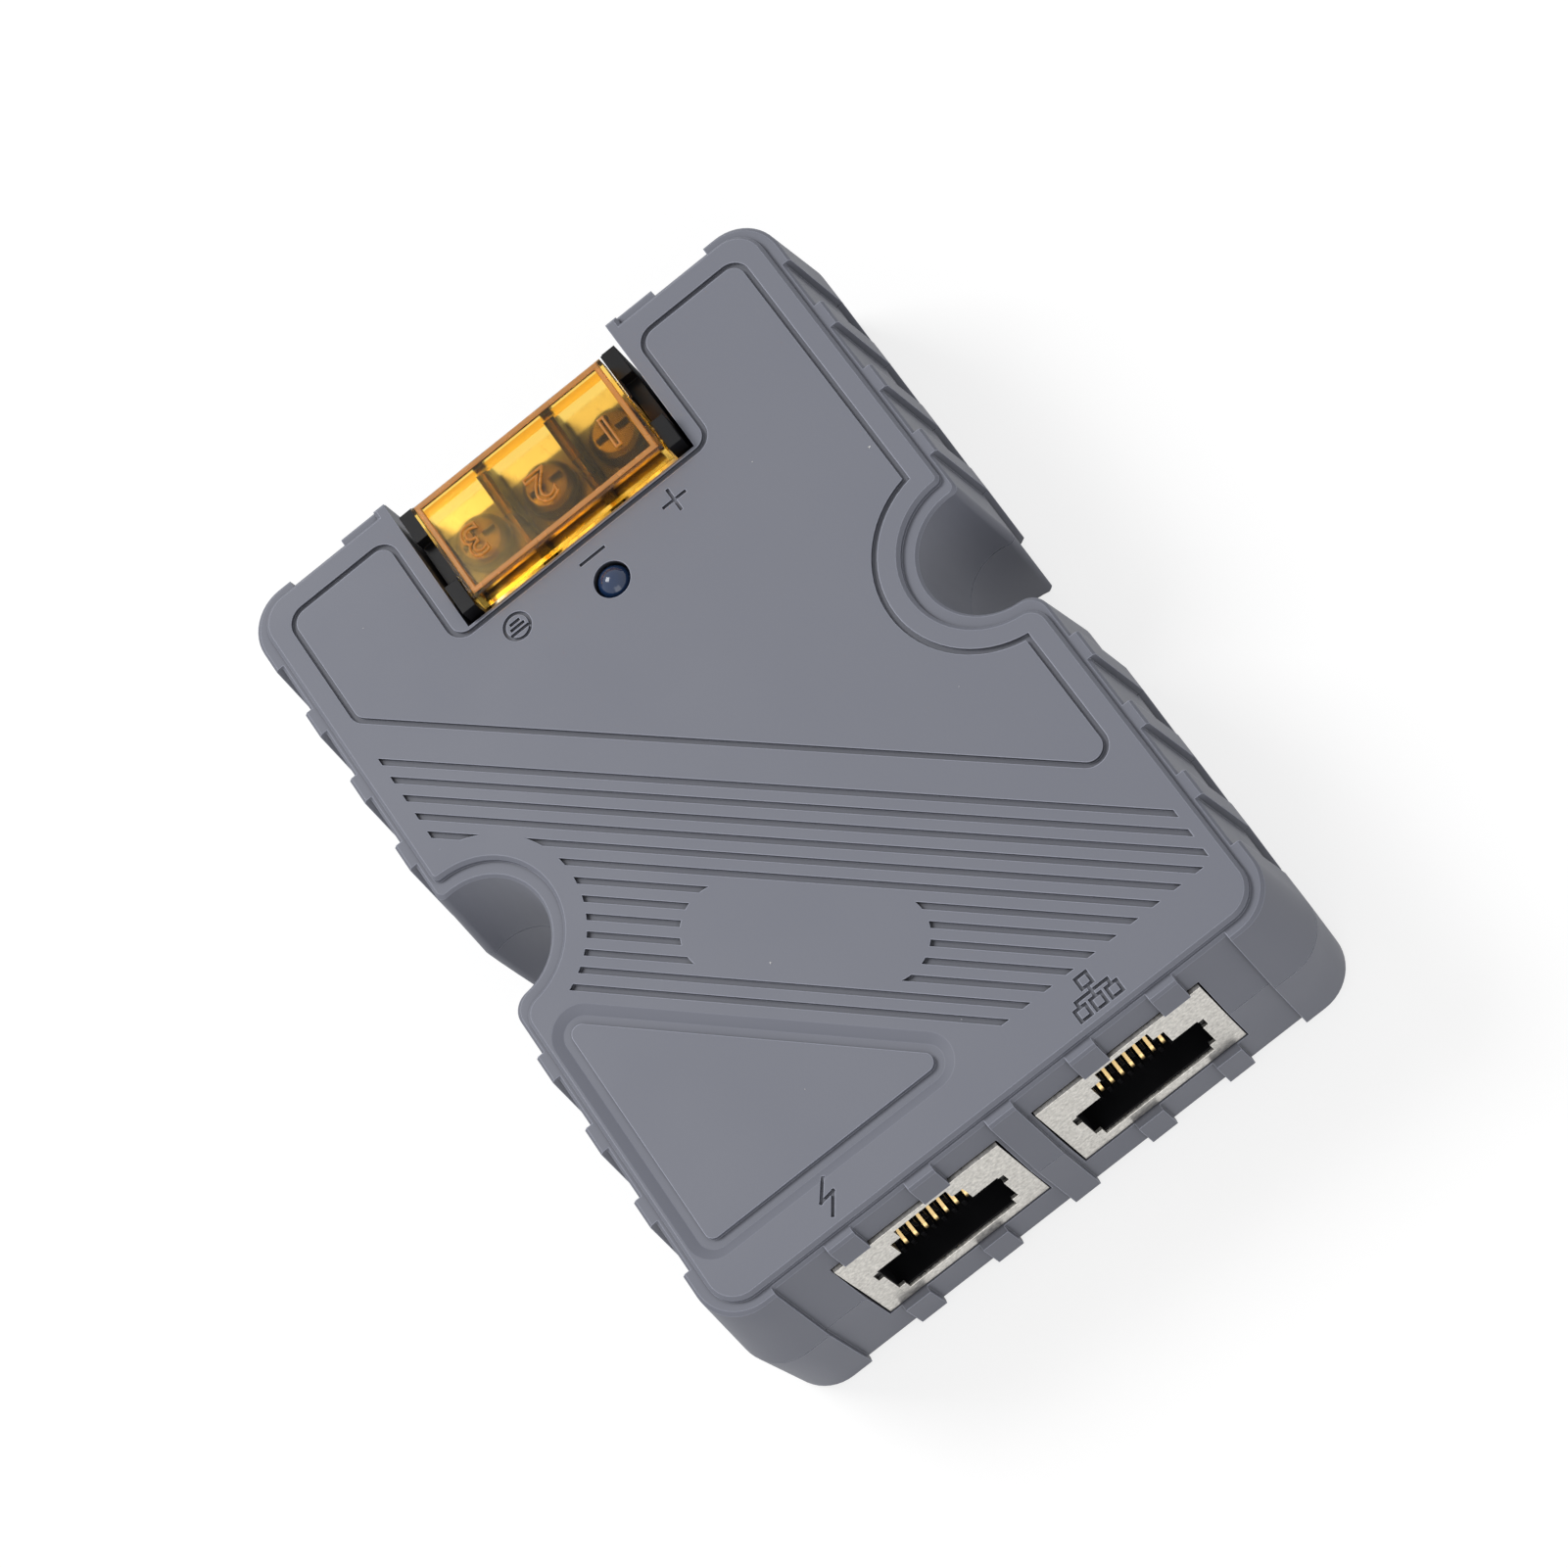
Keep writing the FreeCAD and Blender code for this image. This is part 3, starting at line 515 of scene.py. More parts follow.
def add_stroke(shape, start, end, width, low, high):
    """A straight engraved line between two points of the top."""
    start, end = Vector(start), Vector(end)
    run = (end - start).normalized() * (width / 2)
    side = Vector((-run.y, run.x))
    corners = [start - run - side, end + run - side, end + run + side, start - run + side]
    ring = [[shape.verts.new((corner.x, corner.y, z)) for corner in corners] for z in (low, high)]
    shape.faces.new(ring[0][::-1])
    shape.faces.new(ring[1])
    for index in range(4):
        following = (index + 1) % 4
        shape.faces.new([ring[0][index], ring[0][following], ring[1][following], ring[1][index]])


def close_frame(shape, rings):
    """Four rings of points joined into a closed frame of four-sided section."""
    for first in range(4):
        inner, outer = rings[first], rings[(first + 1) % 4]
        for step in range(len(inner)):
            following = (step + 1) % len(inner)
            shape.faces.new([inner[step], inner[following], outer[following], outer[step]])


def add_ring(shape, centre, radius, width, low, high, steps=40):
    """An engraved circle of the top."""
    rings = []
    for distance, z in ((radius - width / 2, low), (radius + width / 2, low),
                        (radius + width / 2, high), (radius - width / 2, high)):
        rings.append([shape.verts.new((centre[0] + distance * math.cos(2 * math.pi * step / steps),
                                       centre[1] + distance * math.sin(2 * math.pi * step / steps), z))
                      for step in range(steps)])
    close_frame(shape, rings)


def terminal_signs():
    """Strokes of plus, minus and earth by the terminal, and the middle of the earth sign's ring."""
    signs_y = 21.3 * MM
    plus = Vector((7.9 * MM, signs_y))
    arm = 1.05 * MM
    strokes = [[(plus.x - arm, plus.y), (plus.x + arm, plus.y)],
               [(plus.x, plus.y - arm), (plus.x, plus.y + arm)]]
    minus = Vector((-0.2 * MM, 21.95 * MM))
    arm = 1.15 * MM
    strokes.append([(minus.x - arm, minus.y), (minus.x + arm, minus.y)])
    earth = Vector((-8.5 * MM, signs_y - 0.1 * MM))
    for rise, half in ((-0.45, 0.35), (0.0, 0.55), (0.45, 0.75)):
        height = earth.y - rise * MM
        strokes.append([(earth.x - half * MM, height), (earth.x + half * MM, height)])
    return strokes, earth


def square(x, y, half):
    """The four strokes of a square."""
    corners = [(x - half, y - half), (x + half, y - half), (x + half, y + half), (x - half, y + half)]
    return list(zip(corners, corners[1:] + corners[:1]))


def port_signs():
    """Strokes of the bolt and the net beside the jacks, each about 3 mm tall."""
    bolt = Vector((-14.3 * MM, -35.2 * MM))
    points = [(0.5, 1.5), (-0.7, -0.1), (0.6, 0.1), (-0.5, -1.5)]
    bolt_points = [(bolt.x + x * MM, bolt.y + y * MM) for x, y in points]
    strokes = list(zip(bolt_points, bolt_points[1:]))
    net = Vector((11.3 * MM, -35.2 * MM))
    half = 0.5 * MM
    spread = 1.5 * MM
    rail = net.y - 0.05 * MM
    strokes.extend(square(net.x, net.y + 1.0 * MM, half))
    for x in (net.x - spread, net.x, net.x + spread):
        strokes.extend(square(x, net.y - 1.1 * MM, half))
        strokes.append([(x, rail), (x, net.y - 0.6 * MM)])
    strokes.append([(net.x - spread, rail), (net.x + spread, rail)])
    strokes.append([(net.x, net.y + half), (net.x, rail)])
    return strokes


def sign_cutter(strokes, rings=()):
    """One cutter from strokes and circles, each its own closed form."""
    line, depth = sizes().mark_line, sizes().mark_depth
    low, high = TOP_Z - depth, TOP_Z + depth
    shape = bmesh.new()
    for start, end in strokes:
        add_stroke(shape, start, end, line, low, high)
    for centre, radius in rings:
        add_ring(shape, centre, radius, line, low, high)
    return add_mesh("mark_cutter", shape, "black_moulding", smooth=False)


class INJECTOR_OT_upper_shell(bpy.types.Operator):
    """Upper shell with smooth shading and its engraved signs"""
    bl_idname = "injector.upper_shell"
    bl_label = "Upper shell"

    def execute(self, context):
        obj = add_mesh("upper_shell_finish", merged_copy("upper_shell"), "satin_case")
        strokes, earth = terminal_signs()
        earth_radius = 1.15 * MM
        carve(obj, sign_cutter(strokes, [(earth, earth_radius)]))
        carve(obj, sign_cutter(port_signs()))
        keep_flats_flat(obj)
        settle(obj, HOUSING, "case_plastic", "upper_shell")
        return {"FINISHED"}


class INJECTOR_OT_lower_shell(bpy.types.Operator):
    """Lower shell with smooth shading"""
    bl_idname = "injector.lower_shell"
    bl_label = "Lower shell"

    def execute(self, context):
        obj = add_mesh("lower_shell_finish", merged_copy("lower_shell"), "satin_case")
        keep_flats_flat(obj)
        settle(obj, HOUSING, "case_plastic", "lower_shell")
        return {"FINISHED"}


def new_tree(name, inputs, output):
    """A node tree with named inputs, a finish and one output of geometry."""
    tree = bpy.data.node_groups.new(name, "GeometryNodeTree")
    for title, kind in inputs + [("Finish", "Material")]:
        tree.interface.new_socket(title, in_out="INPUT", socket_type="NodeSocket" + kind)
    tree.interface.new_socket(output, in_out="OUTPUT", socket_type="NodeSocketGeometry")
    return tree, tree.nodes.new("NodeGroupInput").outputs


def close_tree(tree, given, geometry, output):
    """The last steps of a tree: real geometry with its finish."""
    real = new_node(tree, "GeometryNodeRealizeInstances", {"Geometry": geometry})
    paint = new_node(tree, "GeometryNodeSetMaterial", {
        "Geometry": real.outputs["Geometry"], "Material": given["Finish"]})
    new_node(tree, "NodeGroupOutput", {output: paint.outputs["Geometry"]})
    return tree


def contact_tree():
    """Node tree: a line of points becomes a bent contact, repeated across the jack."""
    tree, given = new_tree("jack_contacts", [("Path", "Geometry"), ("Count", "Int"), ("Pitch", "Float"),
                                             ("Wire", "Float")], "Contacts")
    to_curve = new_node(tree, "GeometryNodeMeshToCurve", {"Mesh": given["Path"]})
    fillet = tree.nodes.new("GeometryNodeFilletCurve")
    fillet.mode = "POLY"
    feed(tree, fillet, {"Curve": to_curve.outputs["Curve"], "Count": 6, "Radius": 0.5 * MM})
    profile = new_node(tree, "GeometryNodeCurvePrimitiveQuadrilateral", {
        "Width": given["Wire"], "Height": given["Wire"]})
    sweep = new_node(tree, "GeometryNodeCurveToMesh", {
        "Curve": fillet.outputs["Curve"], "Profile Curve": profile.outputs["Curve"], "Fill Caps": True})
    offset = new_node(tree, "ShaderNodeCombineXYZ", {"X": given["Pitch"]})
    line = new_node(tree, "GeometryNodeMeshLine", {
        "Count": given["Count"], "Offset": offset.outputs["Vector"]})
    instances = new_node(tree, "GeometryNodeInstanceOnPoints", {
        "Points": line.outputs["Mesh"], "Instance": sweep.outputs["Mesh"]})
    return close_tree(tree, given, instances.outputs["Instances"], "Contacts")


def set_input(modifier, tree, name, value):
    """A modifier's input, found by its socket's identifier."""
    for item in tree.interface.items_tree:
        if item.in_out == "INPUT" and item.name == name:
            modifier[item.identifier] = value
            return
    raise KeyError(name)


def run_tree(obj, tree, inputs):
    """A node tree run on an object, whose result becomes its plain mesh."""
    modifier = obj.modifiers.new("build", "NODES")
    modifier.node_group = tree
    for name, value in inputs.items():
        set_input(modifier, tree, name, value)
    obj.update_tag()
    apply_modifiers(obj)
    bpy.data.node_groups.remove(tree)


def path_object(name, points):
    """A mesh of edges through points."""
    mesh = bpy.data.meshes.new(name)
    mesh.from_pydata([tuple(point) for point in points], [(i, i + 1) for i in range(len(points) - 1)], [])
    return new_object(name, mesh)


class INJECTOR_OT_jack_contacts(bpy.types.Operator):
    """Bent contacts of both jacks, repeated by a node tree"""
    bl_idname = "injector.jack_contacts"
    bl_label = "Jack contacts"

    def execute(self, context):
        size = sizes()
        half = size.contact_wire / 2
        tail, hook = 0.4 * MM, 0.3 * MM
        drawn_share = 0.75
        inputs = {"Count": size.contact_count, "Pitch": size.contact_pitch,
                  "Wire": size.contact_wire * drawn_share, "Finish": finish_named("gold_flash")}
        for name in JACKS:
            node = name + "_jack_contacts"
            low, high = box_of(node)
            first = low.x + half
            floor = low.z + half
            points = [(first, low.y - tail, floor - hook), (first, low.y - tail, floor),
                      (first, high.y, high.z - half)]
            obj = path_object(name + "_contact_wires", points)
            run_tree(obj, contact_tree(), inputs)
            settle(obj, HOUSING, "contact_gold", node)
        return {"FINISHED"}


class INJECTOR_OT_jack_shields(bpy.types.Operator):
    """Folded nickel shields with the notches of their folds, and the black inserts"""
    bl_idname = "injector.jack_shields"
    bl_label = "Jack shields"

    def execute(self, context):
        for name, centre in JACKS.items():
            self.shield(name, centre.x)
            dress(name + "_insert_moulding", name + "_jack_insert", "black_moulding", HOUSING,
                  "black_plastic", edge=0.08 * MM, segments=1)
            self.comb(name)
        return {"FINISHED"}

    def shield(self, name, middle):
        """A shield with a notch in each side of its opening and a filled corner below it."""
        opening_half = 5.95 * MM
        notch_half, notch_depth = 0.5 * MM, 0.4 * MM
        notch_low, notch_high = PORT_FLOOR + 5.0 * MM, PORT_FLOOR + 6.5 * MM
        corner_width, corner_depth, corner_height = 0.6 * MM, 0.3 * MM, 1.3 * MM
        obj = add_mesh(name + "_shield_box", merged_copy(name + "_jack_shield"), "nickel_shield")
        notches = bmesh.new()
        corners = bmesh.new()
        for side in (-1, 1):
            edge = middle + side * opening_half
            add_block(notches, (edge - notch_half, JACK_FACE - MM, notch_low),
                      (edge + notch_half, JACK_FACE + notch_depth, notch_high))
            add_block(corners, (edge - corner_width * (side > 0), JACK_FACE, PORT_FLOOR),
                      (edge + corner_width * (side < 0), JACK_FACE + corner_depth,
                       PORT_FLOOR + corner_height))
        carve(obj, add_mesh("notch_cutter", notches, "nickel_shield", smooth=False))
        round_edges(obj, 0.12 * MM)
        settle(obj, HOUSING, "shield_metal", name + "_jack_shield")
        settle(add_mesh(name + "_shield_corners", corners, "nickel_shield"), HOUSING, "shield_metal")

    def comb(self, name):
        """The insert's teeth between the contacts: a low front row and a long row behind."""
        front_half, back_half = 0.17 * MM, 0.15 * MM
        comb = bmesh.new()
        low = box_of(name + "_jack_contacts")[0]
        for index in range(sizes().contact_count + 1):
            x = low.x + sizes().contact_wire / 2 + (index - 0.5) * sizes().contact_pitch
            add_block(comb, (x - front_half, low.y - 1.0 * MM, low.z - 0.05 * MM),
                      (x + front_half, low.y + 0.8 * MM, low.z + 0.9 * MM))
            add_block(comb, (x - back_half, low.y - 0.2 * MM, low.z + 0.5 * MM),
                      (x + back_half, low.y + 4.6 * MM, low.z + 2.0 * MM))
        settle(add_mesh(name + "_contact_comb", comb, "black_moulding"), HOUSING, "black_plastic")


def thread_tree():
    """Node tree: a spiral swept with a small ridge, for a screw's thread."""
    tree, given = new_tree("screw_thread", [("Blank", "Geometry"), ("Turns", "Float"),
                                            ("Radius", "Float"), ("Length", "Float"),
                                            ("Ridge", "Float"), ("Place", "Vector")], "Screw")
    spiral = new_node(tree, "GeometryNodeCurveSpiral", {
        "Resolution": 24, "Rotations": given["Turns"], "Start Radius": given["Radius"],
        "End Radius": given["Radius"], "Height": given["Length"]})
    profile = new_node(tree, "GeometryNodeCurvePrimitiveCircle", {
        "Resolution": 4, "Radius": given["Ridge"]})
    sweep = new_node(tree, "GeometryNodeCurveToMesh", {
        "Curve": spiral.outputs["Curve"], "Profile Curve": profile.outputs["Curve"], "Fill Caps": True})
    shift = new_node(tree, "GeometryNodeTransform", {
        "Geometry": sweep.outputs["Mesh"], "Translation": given["Place"]})
    join = new_node(tree, "GeometryNodeJoinGeometry", {"Geometry": shift.outputs["Geometry"]})
    feed(tree, join, {"Geometry": given["Blank"]})
    return close_tree(tree, given, join.outputs["Geometry"], "Screw")


def cross_cutter(centre, top, reach, width, depth):
    """A cross recess for a screw's head."""
    shape = bmesh.new()
    for x, y in ((reach, width), (width, reach)):
        add_block(shape, (centre.x - x / 2, centre.y - y / 2, top - depth),
                  (centre.x + x / 2, centre.y + y / 2, top + depth))
    return add_mesh("recess_cutter", shape, "nickel_screw", smooth=False)


def threaded(obj, centre, radius, low, high, pitch):
    """A thread added to a screw's shank, in the screw's own finish."""
    run_tree(obj, thread_tree(), {
        "Turns": (high - low) / pitch, "Radius": radius, "Length": high - low, "Ridge": pitch * 0.3,
        "Place": (centre.x, centre.y, low), "Finish": obj.data.materials[0]})


class INJECTOR_OT_terminal_screws(bpy.types.Operator):
    """Pan-headed terminal screws with cross recesses and threads, and their washers"""
    bl_idname = "injector.terminal_screws"
    bl_label = "Terminal screws"

    def execute(self, context):
        head, shank = 2.42 * MM, 1.32 * MM
        under = HEAD_TOP - 1.58 * MM
        point = SCREW_TIP + 0.3 * MM
        profile = [(0, SCREW_TIP), (shank * 0.8, SCREW_TIP), (shank, point), (shank, under),
                   (head - 0.1 * MM, under), (head, under + 0.1 * MM), (head, HEAD_TOP - 0.75 * MM),
                   (head - 0.18 * MM, HEAD_TOP - 0.32 * MM), (head - 0.6 * MM, HEAD_TOP - 0.06 * MM),
                   (head - 1.2 * MM, HEAD_TOP), (0, HEAD_TOP)]
        recess_reach, recess_width, recess_depth = 3.3 * MM, 0.7 * MM, 0.75 * MM
        plain_shank = 2.0 * MM
        for way, centre in SCREWS.items():
            shape = bmesh.new()
            add_lathe(shape, profile, centre)
            obj = add_mesh("way_screw_%d" % way, shape, "dulled_zinc")
            carve(obj, cross_cutter(centre, HEAD_TOP, recess_reach, recess_width, recess_depth))
            threaded(obj, centre, shank, point, under - plain_shank, sizes().thread_pitch)
            settle(obj, "screw_%d" % way, "plated_steel", "terminal_screw_%d" % way)
            dress("way_washer_%d" % way, "clamp_washer_%d" % way, "dulled_zinc", "clamp_%d" % way,
                  "plated_steel", edge=0.1 * MM)
            dress("way_plate_%d" % way, "terminal_plate_%d" % way, "plated_brass", HOUSING,
                  "terminal_brass", edge=0.08 * MM)
        return {"FINISHED"}


class INJECTOR_OT_terminal_block(bpy.types.Operator):
    """Black terminal body with the ledges inside its end walls"""
    bl_idname = "injector.terminal_block"
    bl_label = "Terminal block"

    def execute(self, context):
        dress("terminal_body", "terminal_block", "black_moulding", HOUSING, "black_plastic")
        block_high = box_of("terminal_block")[1]
        plate_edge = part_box("terminal_plate_1")[1][0] + 0.03 * MM
        wall_end = block_high.x - 1.25 * MM
        ledge_top = COVER_HIGH.z - 2.45 * MM
        ledge_length, ledge_height = 5 * MM, 4.5 * MM
        ledges = bmesh.new()
        for side in (-1, 1):
            near, far = sorted((side * plate_edge, side * wall_end))
            add_block(ledges, (near, block_high.y - ledge_length, ledge_top - ledge_height),
                      (far, block_high.y - 0.05 * MM, ledge_top))
        settle(add_mesh("terminal_ledges", ledges, "black_moulding"), HOUSING, "black_plastic")
        return {"FINISHED"}


def numeral(text, x, y, base, height, relief):
    """A way number drawn by its raised outline, upright when read from the terminal's end."""
    curve = bpy.data.curves.new("numeral_" + text, "FONT")
    curve.body = text
    size_over_height = 1.38
    curve.size = height * size_over_height
    curve.align_x = "CENTER"
    curve.align_y = "CENTER"
    curve.fill_mode = "NONE"
    curve.bevel_depth = relief
    curve.bevel_resolution = 2
    curve.resolution_u = 6
    source = bpy.data.objects.new("numeral_" + text, curve)
    mesh = bpy.data.meshes.new_from_object(source)
    bpy.data.objects.remove(source)
    place = Matrix.Translation((x, y, base)) @ Matrix.Rotation(math.pi, 4, "Z")
    mesh.transform(place)
    return mesh


class INJECTOR_OT_terminal_cover(bpy.types.Operator):
    """Clear amber cover with its raised way numbers and rim and its inner guide ribs"""
    bl_idname = "injector.terminal_cover"
    bl_label = "Terminal cover"

    def execute(self, context):
        dress("cover_moulding", "terminal_cover", "clear_amber", "cover", "amber_clear", edge=0.12 * MM)
        settle(add_mesh("cover_rim", self.rim(), "amber_relief"), "cover", "amber_clear")
        settle(add_mesh("cover_ribs", self.ribs(), "clear_amber"), "cover", "amber_clear")
        settle(add_mesh("cover_numbers", self.numbers(), "amber_relief"), "cover", "amber_clear")
        return {"FINISHED"}

    def numbers(self):
        """The raised way numbers, a little behind the middle of the cover."""
        middle_y = (COVER_LOW.y + COVER_HIGH.y) / 2 - 0.9 * MM
        shape = bmesh.new()
        for way, centre in SCREWS.items():
            mesh = numeral(str(way), centre.x, middle_y, COVER_HIGH.z + 0.02 * MM,
                           sizes().numeral_height, 0.12 * MM)
            shape.from_mesh(mesh)
            bpy.data.meshes.remove(mesh)
        return shape

    def ribs(self):
        """The two ribs under the cover's sheet, over the dividers."""
        sheet = 0.8 * MM
        under = COVER_HIGH.z - sheet
        half_pitch = (SCREWS[1].x - SCREWS[2].x) / 2
        half_width, height, end_gap = 0.14 * MM, 0.3 * MM, 0.9 * MM
        shape = bmesh.new()
        for side in (-1, 1):
            add_block(shape, (side * half_pitch - half_width, COVER_LOW.y + end_gap, under - height),
                      (side * half_pitch + half_width, COVER_HIGH.y - end_gap, under - 0.005 * MM))
        return shape

    def rim(self):
        """A low rim round the top of the cover."""
        shape = bmesh.new()
        width, rise, inset, slope = 0.5 * MM, 0.12 * MM, 0.3 * MM, 0.1 * MM
        base = COVER_HIGH.z - 0.02 * MM
        widest = 9.9 * MM
        half_x = min(COVER_HIGH.x, widest)
        outline = [(-half_x, COVER_LOW.y), (half_x, COVER_LOW.y), (half_x, COVER_HIGH.y),
                   (-half_x, COVER_HIGH.y)]
        rings = []
        for distance, height in ((inset, base), (inset + slope, base + rise),
                                 (inset + width - slope, base + rise), (inset + width, base)):
            rings.append([shape.verts.new((x - math.copysign(distance, x),
                                           y + (distance if y == COVER_LOW.y else -distance), height))
                          for x, y in outline])
        close_frame(shape, rings)
        return shape


class INJECTOR_OT_power_lamp(bpy.types.Operator):
    """Domed lamp with its flange and leads"""
    bl_idname = "injector.power_lamp"
    bl_label = "Power lamp"

    def execute(self, context):
        low, high = box_of("power_lamp")
        radius = (high.x - low.x) / 2
        base = high.z - 5.2 * MM
        dome = high.z - radius
        flange_radius, flange_top = radius * 1.02, base + 0.9 * MM
        profile = [(0, base), (flange_radius, base), (flange_radius, flange_top), (radius, base + MM)]
        dome_steps = 8
        for step in range(dome_steps + 1):
            turn = math.pi / 2 * step / dome_steps
            profile.append((radius * math.cos(turn), dome + radius * math.sin(turn)))
        shape = bmesh.new()
        add_lathe(shape, profile, LAMP, 40)
        settle(add_mesh("lamp_dome", shape, "lamp_resin"), HOUSING, "lamp_blue", "power_lamp")
        lead_half, lead_offset = 0.25 * MM, 1.27 * MM
        leads = bmesh.new()
        for side in (-lead_offset, lead_offset):
            add_block(leads, (side - lead_half, LAMP.y - lead_half, BOARD_TOP),
                      (side + lead_half, LAMP.y + lead_half, base + 0.2 * MM))
        settle(add_mesh("lamp_leads", leads, "nickel_screw"), HOUSING, "plated_steel")
        return {"FINISHED"}


class INJECTOR_OT_case_screws(bpy.types.Operator):
    """Sunk case screws with cross recesses and threads"""
    bl_idname = "injector.case_screws"
    bl_label = "Case screws"

    def execute(self, context):
        low, high = box_of("case_screws")
        head, shank = 2.55 * MM, 1.08 * MM
        reach = Vector((2.6 * MM, 2.6 * MM))
        profile = [(0, low.z), (head - 0.1 * MM, low.z), (head, low.z + 0.1 * MM),
                   (shank, low.z + 1.45 * MM), (shank, high.z - 1.2 * MM), (0, high.z)]
        recess_reach, recess_width, recess_depth = 3.0 * MM, 0.6 * MM, 0.7 * MM
        thread_low, thread_high, pitch = low.z + 2.4 * MM, high.z - 1.3 * MM, 0.9 * MM
        parts = bmesh.new()
        for place in (low.xy + reach, high.xy - reach):
            shape = bmesh.new()
            add_lathe(shape, profile, place, 32)
            obj = add_mesh("screw_part", shape, "nickel_screw")
            carve(obj, cross_cutter(place, low.z, recess_reach, recess_width, recess_depth))
            threaded(obj, place, shank, thread_low, thread_high, pitch)
            parts.from_mesh(obj.data)
            bpy.data.objects.remove(obj)
        settle(add_mesh("underside_screws", parts, "nickel_screw"), HOUSING, "screw_steel", "case_screws")
        return {"FINISHED"}


class INJECTOR_OT_board(bpy.types.Operator):
    """Circuit board and the parts on it"""
    bl_idname = "injector.board"
    bl_label = "Circuit board"

    def execute(self, context):
        finishes = {"circuit_board": "board_lacquer", "network_transformer_1": "black_moulding",
                    "network_transformer_2": "black_moulding", "common_mode_choke": "black_moulding",
                    "filter_capacitor": "nickel_screw", "surge_diode": "black_moulding",
                    "board_fuse": "black_moulding"}
        for node, finish in finishes.items():
            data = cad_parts[node].data
            data.materials.clear()
            data.materials.append(finish_named(finish))
        return {"FINISHED"}


class INJECTOR_OT_dust(bpy.types.Operator):
    """The few specks of dust that lie on the top"""
    bl_idname = "injector.dust"
    bl_label = "Dust specks"

    def execute(self, context):
        specks = [(23.0, 13.8, 0.32), (-7.5, -16.7, 0.26), (14.8, 19.5, 0.16), (-19.0, 30.2, 0.15),
                  (-11.0, -27.0, 0.14), (2.0, -30.5, 0.12), (17.2, -8.0, 0.12)]
        corners = 7
        height = TOP_Z + 0.012 * MM
        shape = bmesh.new()
        for x, y, reach in specks:
            ring = []
            for step in range(corners):
                turn = 2 * math.pi * step / corners + x
                size = reach * (0.35 + 0.3 * math.sin(3 * turn + y)) * MM
                ring.append(shape.verts.new((x * MM + size * math.cos(turn),
                                             y * MM + size * math.sin(turn), height)))
            crown = shape.verts.new((x * MM, y * MM, height + 0.03 * MM))
            foot = shape.verts.new((x * MM, y * MM, height - 0.01 * MM))
            for step in range(corners):
                following = (step + 1) % corners
                shape.faces.new([ring[step], ring[following], crown])
                shape.faces.new([ring[following], ring[step], foot])
        settle(add_mesh("dust_specks", shape, "dust_white"), HOUSING, "case_plastic")
        return {"FINISHED"}


def white_to_camera(tree, plain, white):
    """The plain shader lights the object; the camera, gloss and clear plastic see the white one."""
    rays = tree.nodes.new("ShaderNodeLightPath")
    seen = rays.outputs["Is Camera Ray"]
    for name in ("Is Glossy Ray", "Is Transmission Ray"):
        largest = new_node(tree, "ShaderNodeMath", {0: seen, 1: rays.outputs[name]})
        largest.operation = "MAXIMUM"
        seen = largest.outputs[0]
    mix = new_node(tree, "ShaderNodeMixShader", {0: seen, 1: plain.outputs[0], 2: white.outputs[0]})
    return mix.outputs[0]


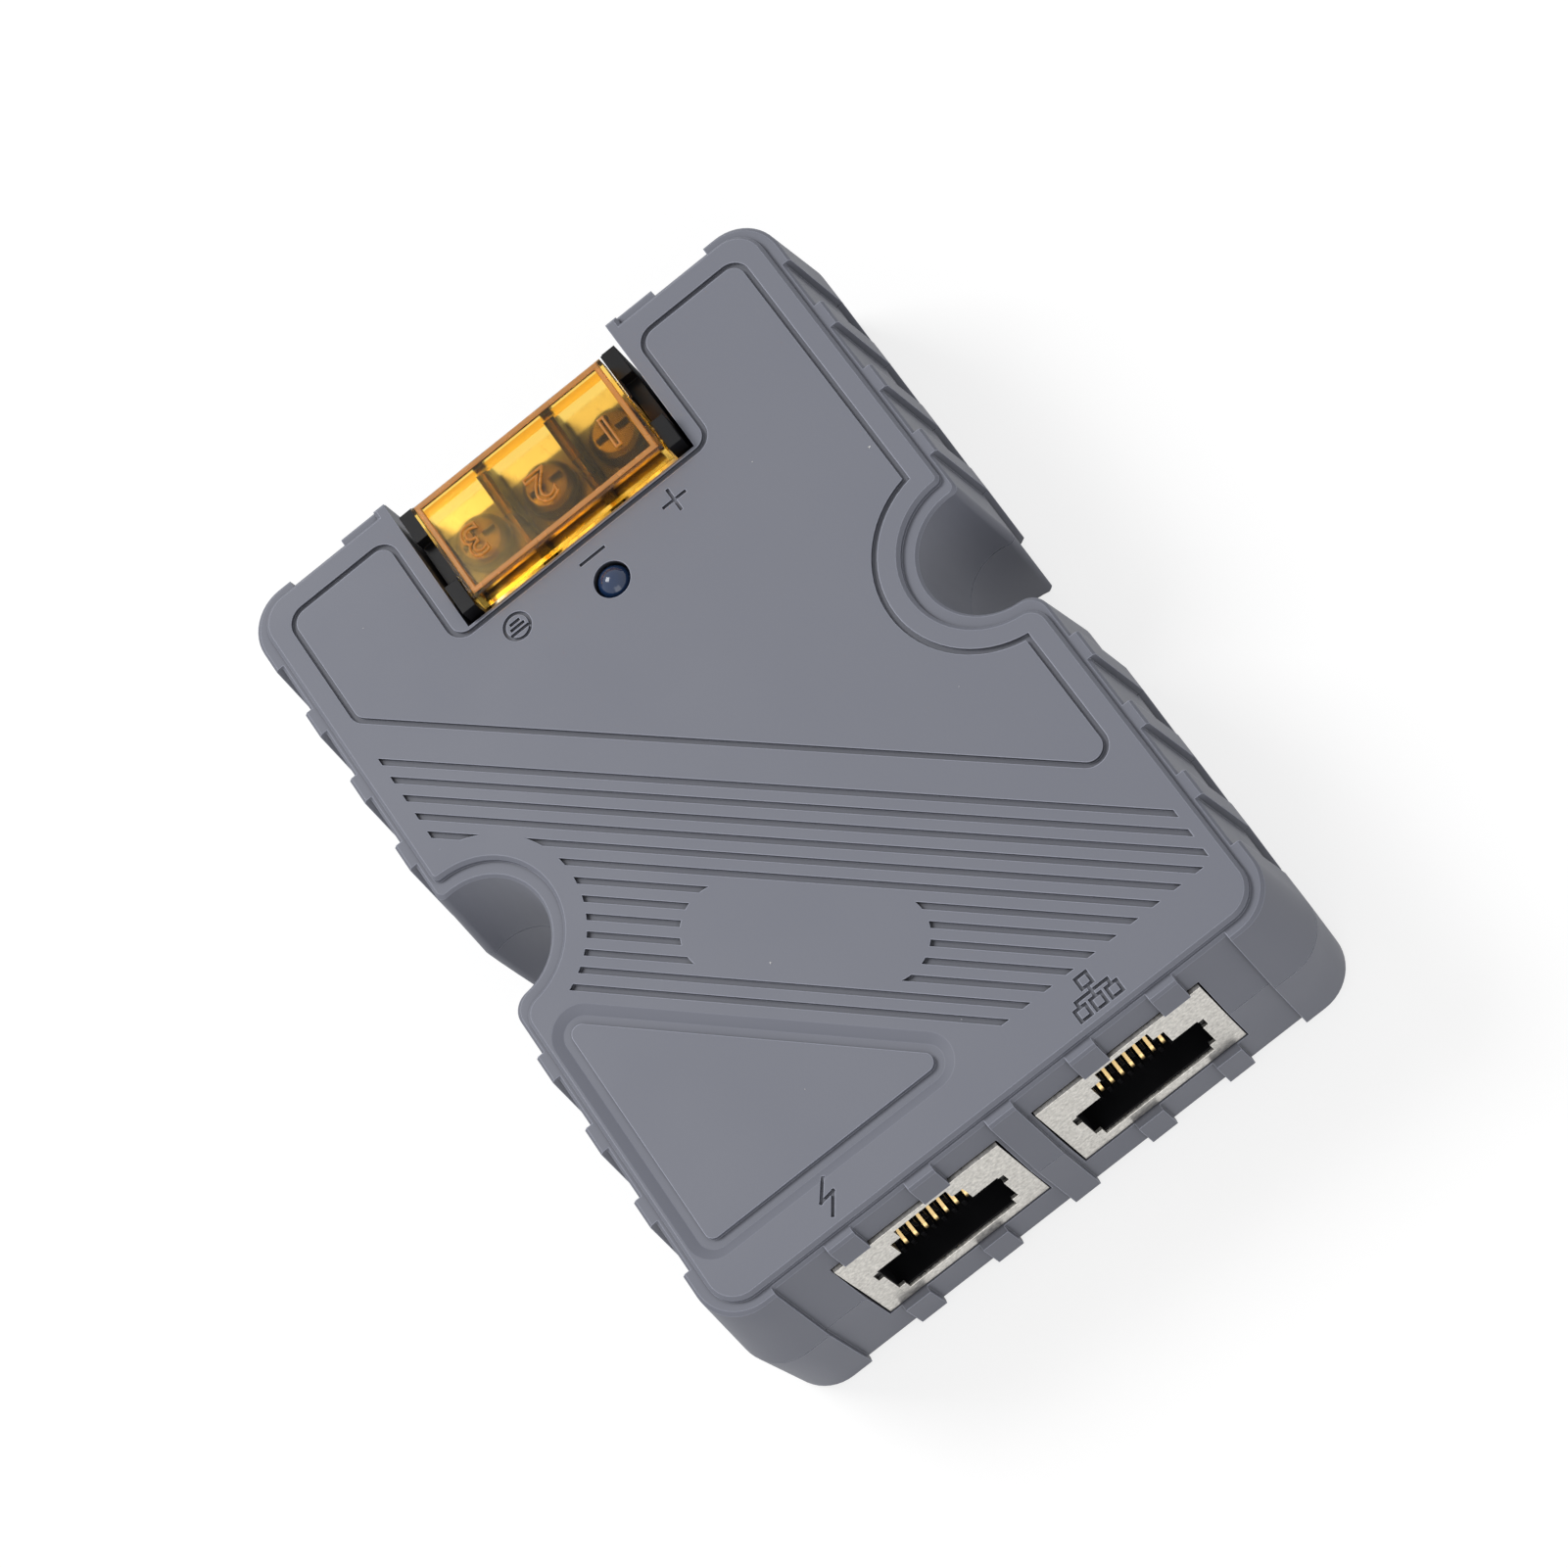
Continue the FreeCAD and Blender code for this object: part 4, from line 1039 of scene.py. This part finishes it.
class INJECTOR_OT_stage(bpy.types.Operator):
    """White floor, soft lights and the camera"""
    bl_idname = "injector.stage"
    bl_label = "Studio"

    def execute(self, context):
        self.floor()
        self.world()
        self.lights()
        self.camera()
        return {"FINISHED"}

    def floor(self):
        """A floor that is white to the camera, apart from the object's soft shadow."""
        shape = bmesh.new()
        bmesh.ops.create_grid(shape, x_segments=1, y_segments=1, size=1.5)
        mesh = bpy.data.meshes.new("floor")
        shape.to_mesh(mesh)
        shape.free()
        obj = new_object("floor", mesh)
        material = bpy.data.materials.new("white_floor")
        material.use_nodes = True
        tree = material.node_tree
        plain = tree.nodes["Principled BSDF"]
        feed(tree, plain, {"Base Color": (0.45, 0.45, 0.45, 1), "Roughness": 0.9})
        soft = new_node(tree, "ShaderNodeBsdfDiffuse", {"Color": (0.3, 0.3, 0.3, 1)})
        glow = new_node(tree, "ShaderNodeEmission", {"Strength": 0.76})
        both = new_node(tree, "ShaderNodeAddShader", {0: soft.outputs[0], 1: glow.outputs[0]})
        feed(tree, tree.nodes["Material Output"], {"Surface": white_to_camera(tree, plain, both)})
        mesh.materials.append(material)

    def world(self):
        """Even light all round, and a white backdrop."""
        world = bpy.data.worlds.new("studio")
        world.use_nodes = True
        tree = world.node_tree
        plain = tree.nodes["Background"]
        feed(tree, plain, {"Color": (1, 1, 1, 1), "Strength": 0.45})
        white = new_node(tree, "ShaderNodeBackground", {"Color": (1, 1, 1, 1), "Strength": 1.0})
        feed(tree, tree.nodes["World Output"], {"Surface": white_to_camera(tree, plain, white)})
        bpy.context.scene.world = world

    def lights(self):
        """Two soft lamps that face the object."""
        for name, place, size, power in (
                ("key", (-0.32, 0.42, 0.68), 0.35, sizes().key_power),
                ("fill", (-0.15, -0.75, 0.45), 0.6, sizes().fill_power)):
            data = bpy.data.lights.new(name, "AREA")
            data.size = size
            data.energy = power
            lamp = new_object(name, data)
            lamp.location = place
            lamp.rotation_euler = (-Vector(place)).to_track_quat("-Z", "Y").to_euler()

    def camera(self):
        """The camera at the photograph's viewing angle."""
        seat = Vector((36.47, -191.54, 387.91)) * MM
        target = Vector((0.5, 0.5, 11.5)) * MM
        photo_up = Vector((0.62419, 0.67561, 0.39235))
        forward = (target - seat).normalized()
        up = (photo_up - forward * photo_up.dot(forward)).normalized()
        right = forward.cross(up)
        data = bpy.data.cameras.new("camera")
        data.sensor_fit = "HORIZONTAL"
        data.sensor_width = 36
        data.lens = sizes().lens
        data.clip_start = 0.01
        camera = new_object("camera", data)
        turn = Matrix((right, up, -forward)).transposed().to_4x4()
        camera.matrix_world = Matrix.Translation(seat) @ turn
        bpy.context.scene.camera = camera
        bpy.context.scene.view_settings.view_transform = "Standard"


class INJECTOR_PT_panel(bpy.types.Panel):
    """The operators in the order in which they run"""
    bl_idname = "INJECTOR_PT_panel"
    bl_label = "Network power injector"
    bl_space_type = "VIEW_3D"
    bl_region_type = "UI"
    bl_category = "Injector"

    def draw(self, context):
        for operator in OPERATORS:
            self.layout.operator(operator.bl_idname)


OPERATORS = (
    INJECTOR_OT_upper_shell, INJECTOR_OT_lower_shell, INJECTOR_OT_jack_shields,
    INJECTOR_OT_jack_contacts, INJECTOR_OT_terminal_block, INJECTOR_OT_terminal_screws,
    INJECTOR_OT_terminal_cover, INJECTOR_OT_power_lamp, INJECTOR_OT_case_screws, INJECTOR_OT_board,
    INJECTOR_OT_dust, INJECTOR_OT_stage,
)
CLASSES = (InjectorSizes, InjectorColours) + OPERATORS + (INJECTOR_PT_panel,)


def register():
    """The classes and the scene's settings."""
    for cls in CLASSES:
        bpy.utils.register_class(cls)
    bpy.types.Scene.injector_sizes = PointerProperty(type=InjectorSizes)
    bpy.types.Scene.injector_colours = PointerProperty(type=InjectorColours)


def unregister():
    """The classes and settings taken away again."""
    del bpy.types.Scene.injector_colours
    del bpy.types.Scene.injector_sizes
    for cls in reversed(CLASSES):
        bpy.utils.unregister_class(cls)


def main():
    """Every piece in order."""
    register()
    bpy.ops.injector.upper_shell()
    bpy.ops.injector.lower_shell()
    bpy.ops.injector.jack_shields()
    bpy.ops.injector.jack_contacts()
    bpy.ops.injector.terminal_block()
    bpy.ops.injector.terminal_screws()
    bpy.ops.injector.terminal_cover()
    bpy.ops.injector.power_lamp()
    bpy.ops.injector.case_screws()
    bpy.ops.injector.board()
    bpy.ops.injector.dust()
    bpy.ops.injector.stage()


if __name__ == "__main__":
    main()
